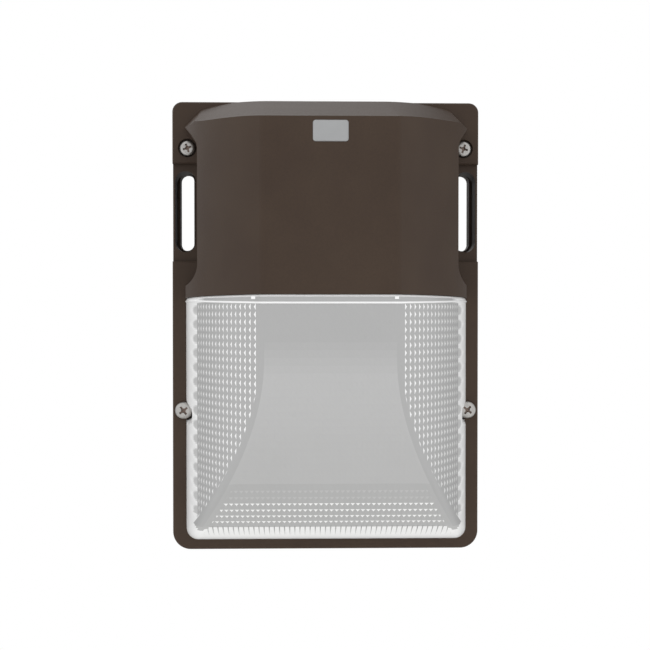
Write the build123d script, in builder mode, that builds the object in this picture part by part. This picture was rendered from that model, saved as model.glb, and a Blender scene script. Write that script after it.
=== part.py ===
from build123d import *
import os
from math import pi, radians, sqrt, tan

# Wall pack light. Sizes in millimetres, +Z up, the wall is the plane Y = 0 and the light faces -Y.
# The origin is the centre of the rear housing's back face. "Depth" below is the distance in front
# of the wall, and "reach" is the distance in front of the cover's frame. A cut runs past what it
# cuts by the overrun.

os.makedirs("parts", exist_ok=True)

# ---------------------------------------------------------------- overall sizes
width = 152.0
height = 222.0
housing_depth = 21.1
frame_thick = 3.4
hood_reach = 83.0
top_corner_r = 4.8
bottom_corner_r = 8.8

cast_wall = 2.6
back_wall = 3.5
rim = 4.0
edge_r = 0.6
gap = 0.2
overrun = 2.0

frame_depth = housing_depth + frame_thick
half_w = width / 2
half_h = height / 2

# ---------------------------------------------------------------- hood
side_margin = 6.85
side_centre_reach = -0.7
flat_half = 29.0
crease_r = 4.4
roof_cap = 0.2
roof_slope = 0.261
roof_rise = 0.9
roof_flat_half = 29.0
roof_shoulder_in = 14.7
roof_shoulder_drop = 4.65
roof_shoulder_fall = 0.052
roof_crown_in = 28.0
roof_crown_drop = 1.65
roof_crown_fall = 0.0235
roof_tip_drop = 12.9
roof_tip_out = 0.4
hood_height = 97.25
hood_lip_rise = 1.25
scoop_in = 16.0
scoop_r = 10.0
scoop_drop = 91.5
scoop_tip_drop = 13.7
scoop_tip_slope = 1.327
floor_up = 3.25
floor_thick = 2.4

side_x_max = half_w - side_margin
side_h = hood_reach - side_centre_reach
side_a = side_x_max - flat_half
side_r = (side_a**2 + side_h**2) / (2 * side_a)
side_cx = side_x_max - side_r
hood_z = half_h - hood_height
floor_z = hood_z + floor_up
bay_z = floor_z + floor_thick

# ---------------------------------------------------------------- side slots and the band across them
slot_w = 10.4
slot_len = 40.3
slot_edge = 1.0
slot_drop = 53.95
slot_lip = 8.0
lip_inner = 2.1
lip_outer = 1.2
lip_low = 1.3
band_above = 3.4
band_below = 4.75

slot_x = half_w - slot_edge - slot_w / 2
slot_z = half_h - slot_drop
lip_hole_x = slot_x + (lip_inner - lip_outer) / 2
lip_hole_z = slot_z + lip_low / 2
band_top = slot_z + slot_len / 2 + band_above
band_low = slot_z - slot_len / 2 - band_below
scoop_x = half_w - scoop_in

# ---------------------------------------------------------------- lens
opening_margin = 6.6
opening_low = 6.9
opening_r = 5.6
lens_inset = 0.4
lens_crease_r = 5.4
lens_wall = 2.4
lens_straight = 27.0
lens_foot_reach = 3.0
shoulder_drop = 4.2
lip_thick = 1.6
rebate_w = 2.4
rebate_depth = 2.3
lens_flange = 1.5
lobe_wall = 0.35
notch_clear = 0.6
notch_reach = 30.0
notch_draft = 3.0

opening_x = half_w - opening_margin
opening_z = -half_h + opening_low
lens_break_z = hood_z + hood_lip_rise - lens_straight
lip_inset = lens_inset + lens_wall

# ---------------------------------------------------------------- cover screws
top_screw_in = 7.45
top_screw_drop = 22.8
mid_screw_in = 5.5
mid_screw_up = 69.3
top_head_d = 7.8
mid_head_d = 8.5
head_h = 2.4
cbore_clear = 0.75
cbore_depth = 2.0
shank_d = 3.9
shank_clear = 0.1
plate_clear = 0.3
thread_len = 7.2
screw_travel = 7.0
ring_d = 6.8
ring_thick = 0.8
ring_stop = 0.1
ring_seat = 0.4
ring_clear = 0.3
boss_r = 7.0
screw_end_gap = 1.5
top_turn = -20.0
mid_turn = -38.0

# A screw's own proportions: shares of its head's width and height, and of its shank's radius.
head_flat = 0.6
head_side = 0.45
tip_taper = 0.6
recess_len = 0.56
recess_w = 0.12
recess_deep = 0.7
core_r = 0.13
core_deep = 0.9

top_screw = (half_w - top_screw_in, half_h - top_screw_drop)
mid_screw = (half_w - mid_screw_in, -half_h + mid_screw_up)
lobe_r = mid_head_d / 2 + lobe_wall
cbore_d = top_head_d + 2 * cbore_clear
plate_hole_d = shank_d + 2 * plate_clear
ring_depth = housing_depth - ring_stop - screw_travel - ring_thick
ring_bore_depth = ring_depth - ring_seat
screw_end_depth = ring_depth - thread_len

# ---------------------------------------------------------------- housing
pocket_step_in = 5.15
pocket_upper_x = scoop_x - rim
pocket_lower_x = half_w - rim
pocket_step_z = band_low - pocket_step_in
groove_in = 1.1
groove_w = 1.8
groove_depth = 1.5
wall_seal_in = 6.0
wall_seal_slot = 4.0
wall_seal_w = 5.0
wall_seal_depth = 1.5
wall_hole_d = 5.5
wall_hole_in = 11.6
wall_hole_drop = 15.0
box_hole_pitch = 88.9
box_slot_w = 5.0
box_slot_len = 11.0
entry_hole_d = 22.2
entry_bore_d = 12.0
grommet_flange_d = 27.0
grommet_flange = 1.5
ground_x = -36.0
ground_z = -30.0
ground_boss_d = 9.0
ground_boss_h = 5.0
ground_screw_len = 6.0

wall_seal_x = slot_x - slot_w / 2 - wall_seal_slot
wall_seal_z = half_h - wall_seal_in
wall_hole_x = 2 * (wall_seal_x - wall_seal_w - wall_hole_in)
wall_hole_z = 2 * (wall_seal_z - wall_seal_w - wall_hole_drop)

# ---------------------------------------------------------------- inside the light chamber
reflector_thick = 1.0
reflector_drop = 1.6
reflector_clear = 0.5
reflector_turn = 9.0
fixing_d = 3.0
fixing_head_d = 5.6
fixing_head_h = 2.0
fixing_hole_d = 3.4
reflector_fix_in = 24.6
reflector_fix_reach = 4.0
board_side = 24.6
board_y = 38.0
board_thick = 1.6
board_r = 2.0
board_reach = 12.0
board_fix_in = 5.0
chip_x = 2.8
chip_y = 3.5
chip_h = 0.7
chip_columns = 8
chip_rows = 3
chip_pitch_x = 9.0
chip_pitch_y = 10.0
chip_shift = 1.0
web_boss_r = 3.4
web_boss_h = 5.0
connector_x = 12.0
connector_y = 6.0
connector_h = 4.0
lead_hole_back = 9.5
lead_hole_d = 11.0
lead_bore_d = 7.0
bush_flange_w = 1.0
bush_flange = 1.5
small_edge = 0.4

reflector_depth = frame_depth - reflector_drop
reflector_fix_x = side_x_max - reflector_fix_in
board_x = 2 * (side_x_max - board_side)
lead_hole_reach = hood_reach - lead_hole_back

# ---------------------------------------------------------------- inside the hood
gear_plate_thick = 1.5
gear_plate_r = 3.0
gear_plate_side = 4.8
gear_plate_low = 10.6
gear_plate_high = 7.0
gear_boss_r = 4.5
gear_boss_len = 26.0
gear_hole_len = 13.0
gear_screw_len = 9.0
gear_boss_up = 25.6
gear_boss_top_in = 14.0
gear_boss_top_drop = 13.5
gear_boss_in = 8.5
gear_screw_d = 4.0
gear_head_d = 7.6
gear_head_h = 2.2
driver_side = 18.0
driver_z = 42.0
driver_depth = 27.0
driver_low = 20.6
driver_lid_thick = 2.0
driver_ear = 9.0
driver_ear_z = 12.0
driver_ear_thick = 2.0
terminal_x = 32.0
terminal_z = 20.0
terminal_depth = 14.0
terminal_pitch = 8.0
terminal_entry = 6.5
lead_d = 1.8
lead_loop = 12.0
bend_share = 0.45
lead_turns = (0.33, 0.67)
led_lead_up = 6.0
led_lead_out = 20.0
led_lead_over = 13.0
photocell_lead_in = 8.0
lead_pair = 1.4
lead_pair_hole_d = 4.8
bush_d = 6.0
bush_clear = 0.05
driver_wall = 1.5
lid_rib = 3.0
circuit_clear = 0.5
driver_screw_past = 0.5
coil_in = 24.0
coil_size = 18.0
coil_h = 16.0
capacitor_d = 10.0
capacitor_in = 9.0
earth_in = 5.4
lug_barrel_d = 3.4
lug_len = 9.0
lug_thick = 0.8
clamp_head_d = 4.4
clamp_d = 2.6
clamp_drop = 2.0
clamp_len = 5.0
clamp_screw_len = 4.0
clamp_head_h = 1.6
entry_size = 3.6

gear_plate_x = 2 * (scoop_x - gear_plate_side)
gear_boss_top_x = scoop_x - gear_boss_top_in
driver_x = 2 * (scoop_x - driver_side)
coil_x = driver_x / 2 - coil_in
gear_depth = frame_depth - gear_plate_thick
driver_base_z = bay_z + driver_low
driver_top_z = driver_base_z + driver_z
driver_front = frame_depth + driver_depth
terminal_mid_z = driver_top_z - terminal_z / 2

# ---------------------------------------------------------------- photocell
window_x = 15.2
window_z = 9.1
window_r = 1.2
window_proud = 0.4
window_drop = 27.0
sensor_x = 14.0
sensor_z = 6.4
holder_x = 34.0
holder_thick = 2.0
holder_fix_x = 13.0
holder_boss_r = 2.8
holder_boss_len = 7.0
holder_hole_len = 6.0
holder_screw_d = 2.5
holder_head_d = 5.0
holder_head_h = 1.8
holder_z = 7.0

window_mid_z = half_h - window_drop
hood_wall_depth = frame_depth + hood_reach - cast_wall


# ---------------------------------------------------------------- shared shapes
def side_x(inset, reach):
    """Half width of the hood's curved side at a reach in front of the frame."""
    return side_cx + sqrt((side_r - inset) ** 2 - (reach - side_centre_reach) ** 2)


def plan_solid(inset, low, high, rounded=True):
    """Upright prism on the hood's plan: flat front, one arc each side, open to the seam plane."""
    front = hood_reach - inset
    corner = (side_x(inset, front), -frame_depth - front)
    middle = (side_x(inset, front / 2), -frame_depth - front / 2)
    foot = (side_x(inset, -frame_thick), -housing_depth)
    with BuildPart() as prism:
        with BuildSketch(Plane.XY.offset(low)) as plan:
            with BuildLine():
                Line((0, corner[1]), corner)
                ThreePointArc(corner, middle, foot)
                Line(foot, (0, foot[1]))
                mirror(about=Plane.YZ)
            make_face()
            creases = plan.vertices().filter_by(lambda v: abs(v.X) > 1 and abs(v.Y - corner[1]) < 0.01)
            if rounded:
                fillet(creases, max(crease_r - inset, edge_r))
        extrude(amount=high - low)
    return prism.part


def roof_section(inset, reach):
    """The hood's cross-section at a reach. Its shoulders fall away more towards the front."""
    rise = half_h + roof_rise - roof_slope * reach - inset * sqrt(1 + roof_slope**2)
    flat = (roof_flat_half, rise)
    crown = (half_w - roof_crown_in, rise - roof_crown_drop - roof_crown_fall * reach)
    shoulder = (half_w - roof_shoulder_in, rise - roof_shoulder_drop - roof_shoulder_fall * reach)
    tip = (side_x_max + roof_tip_out, rise - roof_tip_drop - roof_shoulder_fall * reach)
    with BuildSketch(Plane.XZ.offset(frame_depth + reach)) as section:
        with BuildLine():
            Line((0, rise), flat)
            ThreePointArc(flat, crown, shoulder)
            Polyline(shoulder, tip, (tip[0], -half_h), (0, -half_h))
            mirror(about=Plane.YZ)
        make_face()
    return section.sketch


def roof_solid(inset):
    """The space under the hood's roof, from behind the frame to in front of the hood."""
    with BuildPart() as roof:
        loft([roof_section(inset, -frame_thick), roof_section(inset, hood_reach + frame_thick)],
             ruled=True)
    return roof.part


def scoop_solid(inset):
    """The hollow along each side of the hood that leaves the slotted ears open to the front."""
    low = half_h - scoop_drop
    far = half_w + scoop_r
    high = half_h - scoop_tip_drop + (far - side_x_max) * scoop_tip_slope
    top = half_h - scoop_tip_drop + (scoop_x - side_x_max) * scoop_tip_slope
    with BuildPart() as scoop:
        with BuildSketch(Plane.XZ.offset(housing_depth)) as outline:
            with BuildLine():
                CenterArc((scoop_x + scoop_r, low + scoop_r), scoop_r, 180, 90)
                Polyline((scoop_x + scoop_r, low), (far, low), (far, high), (scoop_x, top),
                         (scoop_x, low + scoop_r))
            make_face()
            fillet(outline.vertices().group_by(Axis.X)[0].sort_by(Axis.Y)[-1], scoop_r)
            if inset > 0:
                offset(amount=inset)
            mirror(about=Plane.YZ)
        extrude(amount=hood_reach + 2 * frame_thick)
    return scoop.part


def hood_solid(inset, low, lip_rise):
    """The hood, shrunk by an inset, above a bottom edge that rises towards the front."""
    front = frame_depth + hood_reach
    with BuildPart() as hood:
        add(plan_solid(inset, low - overrun, half_h - roof_cap))
        add(roof_solid(inset), mode=Mode.INTERSECT)
        add(scoop_solid(inset), mode=Mode.SUBTRACT)
        with BuildSketch(Plane.YZ):
            with BuildLine():
                Polyline((0, low), (-frame_depth, low), (-front, low + lip_rise),
                         (-front - overrun, low + lip_rise), (-front - overrun, low - 2 * overrun),
                         (0, low - 2 * overrun), close=True)
            make_face()
        extrude(amount=half_w, both=True, mode=Mode.SUBTRACT)
    return hood.part


def lens_solid(inset):
    """The lens' outer form: the hood's plan, with a front that runs straight and then curves in."""
    front = frame_depth + hood_reach - lens_inset - inset
    foot = frame_depth + lens_foot_reach - inset
    low = opening_z + gap + inset
    rear_top = hood_z - gap
    front_top = rear_top + hood_lip_rise
    with BuildPart() as form:
        add(plan_solid(lens_inset + inset, -half_h, front_top, False))
        with BuildSketch(Plane.YZ):
            with BuildLine():
                Polyline((-housing_depth, rear_top), (-frame_depth, rear_top), (-front, front_top),
                         (-front, lens_break_z))
                EllipticalCenterArc((-foot, lens_break_z), front - foot, lens_break_z - low,
                                    start_angle=180, arc_size=90)
                Polyline((-foot, low), (-housing_depth, low), (-housing_depth, rear_top))
            make_face()
        extrude(amount=half_w, both=True, mode=Mode.INTERSECT)
        corners = form.faces().filter_by(GeomType.CYLINDER).edges().filter_by(
            lambda e: e.center().Z < rear_top - gap and e.center().Y < -housing_depth - gap)
        fillet(corners, lens_crease_r - inset)
    return form.part


def pan_screw(seat, up, length, shank, head, head_height, turn=0.0):
    """Cross-recess pan head screw: seated at a point, its head on the side that up points to."""
    shank_r = shank / 2
    head_r = head / 2
    face = Plane(origin=seat, x_dir=(1, 0, 0), z_dir=up)
    section = Plane(origin=seat, x_dir=(1, 0, 0), z_dir=Vector(1, 0, 0).cross(Vector(*up)))
    with BuildPart() as screw:
        with BuildSketch(section):
            with BuildLine():
                Polyline((head_flat * head_r, head_height), (0, head_height), (0, -length),
                         (tip_taper * shank_r, -length), (shank_r, -length + tip_taper * shank_r),
                         (shank_r, 0), (head_r, 0), (head_r, head_side * head_height))
                TangentArc((head_flat * head_r, head_height), (head_r, head_side * head_height),
                           tangent=(1, 0))
            make_face()
        revolve(axis=Axis(seat, up))
        with BuildSketch(face.offset(head_height)):
            Rectangle(recess_len * head, recess_w * head, rotation=turn)
            Rectangle(recess_w * head, recess_len * head, rotation=turn)
        extrude(amount=-recess_deep * head_height, mode=Mode.SUBTRACT)
        with BuildSketch(face.offset(head_height)):
            Circle(core_r * head)
        extrude(amount=-core_deep * head_height, mode=Mode.SUBTRACT)
    return screw.part


def lead(name, points):
    """Insulated lead: a round tube along straight runs joined by the largest tangent arcs."""
    corners = [Vector(*point) for point in points]
    runs = [b - a for a, b in zip(corners, corners[1:])]
    radii = []
    for before, after in zip(runs, runs[1:]):
        shorter = min(before.length, after.length)
        radii.append(bend_share * shorter / tan(radians(before.get_angle(after) / 2)))
    with BuildPart() as tube:
        with BuildLine() as route:
            FilletPolyline(*corners, radius=radii)
        with BuildSketch(Plane(origin=corners[0], z_dir=runs[0])):
            Circle(lead_d / 2)
        sweep()
    length = sum(edge.length for edge in route.edges())
    fill = tube.part.volume / (pi * lead_d**2 / 4 * length)
    print(f"{name}: length {length:.1f}, bends {[round(r, 1) for r in radii]}, volume ratio {fill:.4f}")
    return tube.part


def offset_lead(name, start, end):
    """A lead that runs straight out, crosses over in the middle and runs straight in."""
    (x0, y0, z0), (x1, y1, z1) = start, end
    first, second = lead_turns
    if abs(x1 - x0) > abs(y1 - y0):
        turns = [(x0 + first * (x1 - x0), y0, z0), (x0 + second * (x1 - x0), y1, z1)]
    else:
        turns = [(x0, y0 + first * (y1 - y0), z0), (x1, y0 + second * (y1 - y0), z1)]
    return lead(name, [start, *turns, end])


def both_sides(spot):
    """A place and its mirror image across the middle plane."""
    return [(spot[0], spot[1]), (-spot[0], spot[1])]


def finish(piece, name):
    """Label a finished piece and write its file."""
    piece.label = name
    export_step(piece, f"parts/{name}.step")


# ---------------------------------------------------------------- rear housing and what stays with it
def pocket_sketch(depth, grow):
    """The housing's hollow, stepped in beside the slotted ears and round the middle screws."""
    low = -half_h + rim - grow
    step = pocket_step_z + grow
    high = half_h - rim + grow
    with BuildSketch(Plane.XZ.offset(depth)) as pocket:
        with Locations((0, (low + step) / 2)):
            Rectangle(2 * (pocket_lower_x + grow), step - low)
        with Locations((0, (low + high) / 2)):
            Rectangle(2 * (pocket_upper_x + grow), high - low)
        fillet(pocket.vertices().group_by(Axis.Y)[0], bottom_corner_r - rim + grow)
        fillet(pocket.vertices().group_by(Axis.Y)[-1], edge_r + grow)
        with Locations(*both_sides(mid_screw)):
            Circle(boss_r - grow, mode=Mode.SUBTRACT)
    return pocket.sketch


def rim_groove():
    """The ring that the cover gasket fills, let into the housing's rim."""
    start = housing_depth - groove_depth
    with BuildPart() as ring:
        extrude(pocket_sketch(start, groove_in + groove_w), amount=groove_depth)
        extrude(pocket_sketch(start, groove_in), amount=groove_depth, mode=Mode.SUBTRACT)
    return ring.part


def wall_groove():
    """The ring that the wall gasket fills, let into the housing's back face."""
    with BuildPart() as ring:
        with BuildSketch(Plane.XZ):
            RectangleRounded(2 * wall_seal_x, 2 * wall_seal_z, bottom_corner_r)
            offset(amount=-wall_seal_w, mode=Mode.SUBTRACT)
        extrude(amount=wall_seal_depth)
    return ring.part


cover_screw_spots = both_sides(top_screw) + both_sides(mid_screw)

with BuildPart() as rear_housing:
    with BuildSketch(Plane.XZ) as back:
        Rectangle(width, height)
        fillet(back.vertices().group_by(Axis.Y)[-1], top_corner_r)
        fillet(back.vertices().group_by(Axis.Y)[0], bottom_corner_r)
    extrude(amount=housing_depth)
    extrude(pocket_sketch(back_wall, 0), amount=housing_depth, mode=Mode.SUBTRACT)
    add(rim_groove(), mode=Mode.SUBTRACT)
    add(wall_groove(), mode=Mode.SUBTRACT)
    with BuildSketch(Plane.XZ.offset(back_wall)):
        with Locations((ground_x, ground_z)):
            Circle(ground_boss_d / 2)
    extrude(amount=ground_boss_h)
    with BuildSketch(Plane.XZ.offset(slot_lip)):
        with Locations(*both_sides((slot_x, slot_z))):
            SlotOverall(slot_len, slot_w, rotation=90)
    extrude(amount=housing_depth, mode=Mode.SUBTRACT)
    with BuildSketch(Plane.XZ):
        with Locations(*both_sides((lip_hole_x, lip_hole_z))):
            SlotOverall(slot_len - lip_low, slot_w - lip_inner - lip_outer, rotation=90)
    extrude(amount=slot_lip, mode=Mode.SUBTRACT)
    with BuildSketch(Plane.XZ):
        with GridLocations(wall_hole_x, wall_hole_z, 2, 2):
            Circle(wall_hole_d / 2)
        with GridLocations(0, box_hole_pitch, 1, 2):
            SlotOverall(box_slot_len, box_slot_w, rotation=90)
        Circle(entry_hole_d / 2)
    extrude(amount=back_wall, mode=Mode.SUBTRACT)
    with BuildSketch(Plane.XZ.offset(screw_end_depth - screw_end_gap)):
        with Locations(*cover_screw_spots):
            Circle(shank_d / 2 + shank_clear)
    extrude(amount=housing_depth, mode=Mode.SUBTRACT)
    with BuildSketch(Plane.XZ.offset(ring_bore_depth)):
        with Locations(*cover_screw_spots):
            Circle(ring_d / 2 + ring_clear)
    extrude(amount=housing_depth, mode=Mode.SUBTRACT)
    with BuildSketch(Plane.XZ.offset(back_wall / 2)):
        with Locations((ground_x, ground_z)):
            Circle(gear_screw_d / 2 + shank_clear)
    extrude(amount=housing_depth, mode=Mode.SUBTRACT)
finish(rear_housing.part, "rear_housing")

with BuildPart() as cover_gasket:
    add(rim_groove())
finish(cover_gasket.part, "cover_gasket")

with BuildPart() as wall_gasket:
    add(wall_groove())
finish(wall_gasket.part, "wall_gasket")

with BuildPart() as entry_grommet:
    with BuildSketch(Plane.XZ):
        Circle(entry_hole_d / 2 - bush_clear)
    extrude(amount=back_wall)
    with BuildSketch(Plane.XZ.offset(back_wall)):
        Circle(grommet_flange_d / 2)
    extrude(amount=grommet_flange)
    with BuildSketch(Plane.XZ):
        Circle(entry_bore_d / 2)
    extrude(amount=back_wall + grommet_flange, mode=Mode.SUBTRACT)
finish(entry_grommet.part, "entry_grommet")

ground_seat = (ground_x, -back_wall - ground_boss_h, ground_z)
with BuildPart() as ground_screw:
    add(pan_screw(ground_seat, (0, -1, 0), ground_screw_len, gear_screw_d, gear_head_d, gear_head_h))
finish(ground_screw.part, "ground_screw")


# ---------------------------------------------------------------- front cover
def opening_sketch(depth, grow, corner):
    """The lens opening in the frame, with a lobe of metal left round each middle screw."""
    low = opening_z - grow
    with BuildSketch(Plane.XZ.offset(depth)) as opening:
        with Locations((0, (low + hood_z) / 2)):
            Rectangle(2 * (opening_x + grow), hood_z - low)
        fillet(opening.vertices().group_by(Axis.Y)[0], corner)
        with Locations(*both_sides(mid_screw)):
            Circle(lobe_r, mode=Mode.SUBTRACT)
    return opening.sketch


board_fixings = [(x * (board_x / 2 - board_fix_in), -frame_depth - board_reach - y)
                 for x in (-1, 1) for y in (board_fix_in, board_y - board_fix_in)]
reflector_fixings = both_sides((reflector_fix_x, -frame_depth - reflector_fix_reach))
low_gear_spots = both_sides((scoop_x - gear_boss_in, bay_z + gear_boss_up))
top_gear_spots = both_sides((gear_boss_top_x, half_h - gear_boss_top_drop))
holder_spots = both_sides((holder_fix_x, window_mid_z))
lead_hole = (0, -frame_depth - lead_hole_reach)

with BuildPart() as front_cover:
    with BuildSketch(Plane.XZ.offset(housing_depth)) as face:
        Rectangle(width, height)
        fillet(face.vertices().group_by(Axis.Y)[-1], top_corner_r)
        fillet(face.vertices().group_by(Axis.Y)[0], bottom_corner_r)
        with Locations(*both_sides((scoop_x + half_w / 2, (band_top + band_low) / 2))):
            Rectangle(half_w, band_top - band_low, mode=Mode.SUBTRACT)
    extrude(amount=frame_thick)
    chamfer(front_cover.faces().sort_by(Axis.Y)[0].edges(), edge_r)
    add(hood_solid(0, hood_z, hood_lip_rise))
    add(hood_solid(cast_wall, bay_z, 0), mode=Mode.SUBTRACT)
    add(plan_solid(cast_wall, hood_z - floor_up, floor_z), mode=Mode.SUBTRACT)
    extrude(opening_sketch(housing_depth, 0, opening_r), amount=frame_thick, mode=Mode.SUBTRACT)
    extrude(opening_sketch(housing_depth, rebate_w, opening_r + rebate_w), amount=rebate_depth,
            mode=Mode.SUBTRACT)
    with BuildSketch(Plane.XY.offset(bay_z)):
        with Locations(*board_fixings, *reflector_fixings):
            Circle(web_boss_r)
    extrude(amount=web_boss_h)
    with BuildSketch(Plane.XY.offset(floor_z)):
        with Locations(*board_fixings, *reflector_fixings):
            Circle(fixing_d / 2 + shank_clear)
    extrude(amount=web_boss_h + floor_thick / 2, mode=Mode.SUBTRACT)
    with BuildSketch(Plane.XY.offset(floor_z)):
        with Locations(lead_hole):
            Circle(lead_hole_d / 2)
    extrude(amount=floor_thick, mode=Mode.SUBTRACT)
    with BuildSketch(Plane.XZ.offset(frame_depth)):
        with Locations(*low_gear_spots, *top_gear_spots):
            Circle(gear_boss_r)
        with Locations(*both_sides((scoop_x - gear_boss_in / 2, low_gear_spots[0][1]))):
            Rectangle(gear_boss_in - cast_wall / 2, gear_boss_r)
    extrude(amount=gear_boss_len)
    with BuildSketch(Plane.XZ.offset(frame_depth)):
        with Locations(*low_gear_spots, *top_gear_spots):
            Circle(gear_screw_d / 2 + shank_clear)
    extrude(amount=gear_hole_len, mode=Mode.SUBTRACT)
    with BuildSketch(Plane.XZ.offset(hood_wall_depth - holder_boss_len)):
        with Locations(*holder_spots):
            Circle(holder_boss_r)
    extrude(amount=holder_boss_len + cast_wall / 2)
    with BuildSketch(Plane.XZ.offset(hood_wall_depth - holder_boss_len)):
        with Locations(*holder_spots):
            Circle(holder_screw_d / 2 + shank_clear)
    extrude(amount=holder_hole_len, mode=Mode.SUBTRACT)
    with BuildSketch(Plane.XZ.offset(hood_wall_depth - overrun)):
        with Locations((0, window_mid_z)):
            RectangleRounded(window_x, window_z, window_r)
    extrude(amount=cast_wall + 2 * overrun, mode=Mode.SUBTRACT)
    with BuildSketch(Plane.XZ.offset(housing_depth)):
        with Locations(*cover_screw_spots):
            Circle(plate_hole_d / 2)
    extrude(amount=frame_thick, mode=Mode.SUBTRACT)
    with BuildSketch(Plane.XZ.offset(frame_depth - cbore_depth)):
        with Locations(*both_sides(top_screw)):
            Circle(cbore_d / 2)
    extrude(amount=cbore_depth + overrun, mode=Mode.SUBTRACT)
finish(front_cover.part, "front_cover")

# ---------------------------------------------------------------- lens and its seal
with BuildPart() as lens_hollow:
    add(lens_solid(lens_wall))
    with BuildSketch(Plane.XZ.offset(housing_depth)):
        with Locations(*both_sides(mid_screw)):
            Circle(lobe_r + notch_clear + lens_wall)
    extrude(amount=frame_thick + notch_reach + lens_wall, taper=-notch_draft, mode=Mode.SUBTRACT)

with BuildPart() as lens:
    add(lens_solid(0))
    extrude(opening_sketch(housing_depth, rebate_w - gap, opening_r + rebate_w), amount=lens_flange)
    add(lens_hollow.part, mode=Mode.SUBTRACT)
    add(plan_solid(lip_inset, hood_z - shoulder_drop, floor_z - gap))
    add(plan_solid(lip_inset + lip_thick, hood_z - shoulder_drop - overrun, floor_z), mode=Mode.SUBTRACT)
    with BuildSketch(Plane.XZ.offset(housing_depth)):
        with Locations(*both_sides(mid_screw)):
            Circle(lobe_r + notch_clear)
    extrude(amount=frame_thick + notch_reach, taper=-notch_draft, mode=Mode.SUBTRACT)
finish(lens.part, "lens")

with BuildPart() as lens_seal:
    start = housing_depth + lens_flange
    extrude(opening_sketch(start, rebate_w, opening_r + rebate_w), amount=rebate_depth - lens_flange)
    extrude(opening_sketch(start, 0, opening_r), amount=rebate_depth - lens_flange, mode=Mode.SUBTRACT)
finish(lens_seal.part, "lens_seal")

# ---------------------------------------------------------------- reflector and light engine
reflector_x = side_x(lip_inset + lip_thick, 0) - reflector_clear
reflector_low = opening_z + gap + lens_wall + reflector_clear
reflector_front = reflector_depth + reflector_thick

with BuildPart() as reflector:
    with BuildSketch(Plane.XZ.offset(reflector_depth)) as sheet:
        with Locations((0, (reflector_low + floor_z) / 2)):
            Rectangle(2 * reflector_x, floor_z - reflector_low)
        fillet(sheet.vertices().group_by(Axis.Y)[0], opening_r)
        with Locations(*both_sides(mid_screw)):
            Circle(lobe_r + notch_clear + lens_wall + reflector_clear, mode=Mode.SUBTRACT)
    extrude(amount=reflector_thick)
    with BuildSketch(Plane.XZ.offset(reflector_front)):
        with Locations((0, floor_z - reflector_thick / 2)):
            Rectangle(2 * reflector_x - 2 * opening_r, reflector_thick)
    extrude(amount=reflector_turn)
    with BuildSketch(Plane.XZ.offset(reflector_front)):
        with Locations((0, reflector_low + reflector_thick / 2)):
            Rectangle(2 * reflector_x - 4 * opening_r, reflector_thick)
    extrude(amount=reflector_turn / 2)
    with BuildSketch(Plane.XY.offset(floor_z - reflector_thick)):
        with Locations(*reflector_fixings):
            Circle(fixing_hole_d / 2)
    extrude(amount=reflector_thick, mode=Mode.SUBTRACT)
finish(reflector.part, "reflector")

with BuildPart() as reflector_screws:
    for x, y in reflector_fixings:
        add(pan_screw((x, y, floor_z - reflector_thick), (0, 0, -1), web_boss_h, fixing_d, fixing_head_d,
                      fixing_head_h))
finish(reflector_screws.part, "reflector_screws")

board_y_mid = -frame_depth - board_reach - board_y / 2
board_low = floor_z - board_thick

with BuildPart() as led_board:
    with BuildSketch(Plane.XY.offset(board_low)):
        with Locations((0, board_y_mid)):
            RectangleRounded(board_x, board_y, board_r)
        with Locations(*board_fixings):
            Circle(fixing_hole_d / 2, mode=Mode.SUBTRACT)
    extrude(amount=board_thick)
finish(led_board.part, "led_board")

with BuildPart() as board_screws:
    for x, y in board_fixings:
        add(pan_screw((x, y, board_low), (0, 0, -1), web_boss_h, fixing_d, fixing_head_d, fixing_head_h))
finish(board_screws.part, "board_screws")

with BuildPart() as led_chips:
    with BuildSketch(Plane.XY.offset(board_low - chip_h)):
        with Locations((0, board_y_mid + chip_shift)):
            with GridLocations(chip_pitch_x, chip_pitch_y, chip_columns, chip_rows):
                Rectangle(chip_x, chip_y)
    extrude(amount=chip_h)
finish(led_chips.part, "led_chips")

connector_front = -frame_depth - board_reach - board_y
with BuildPart() as led_connector:
    with BuildSketch(Plane.XY.offset(board_low - connector_h)):
        with Locations((0, connector_front + connector_y / 2)):
            Rectangle(connector_x, connector_y)
    extrude(amount=connector_h)
    chamfer(led_connector.faces().sort_by(Axis.Z)[0].edges(), small_edge)
finish(led_connector.part, "led_connector")

with BuildPart() as lead_grommet:
    with BuildSketch(Plane.XY.offset(floor_z)):
        with Locations(lead_hole):
            Circle(lead_hole_d / 2 - bush_clear)
    extrude(amount=floor_thick)
    with BuildSketch(Plane.XY.offset(bay_z)):
        with Locations(lead_hole):
            Circle(lead_hole_d / 2 + bush_flange_w)
    extrude(amount=bush_flange)
    with BuildSketch(Plane.XY.offset(floor_z)):
        with Locations(lead_hole):
            Circle(lead_bore_d / 2)
    extrude(amount=floor_thick + bush_flange, mode=Mode.SUBTRACT)
finish(lead_grommet.part, "lead_grommet")

# ---------------------------------------------------------------- gear plate and driver
earth_spot = (gear_plate_x / 2 - earth_in, terminal_mid_z)
supply_z = driver_top_z + lead_loop
supply_leads = [(-terminal_pitch, supply_z), (0, supply_z)]
driver_fixings = both_sides((driver_x / 2 + driver_ear / 2, driver_base_z + driver_z / 2))

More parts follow.
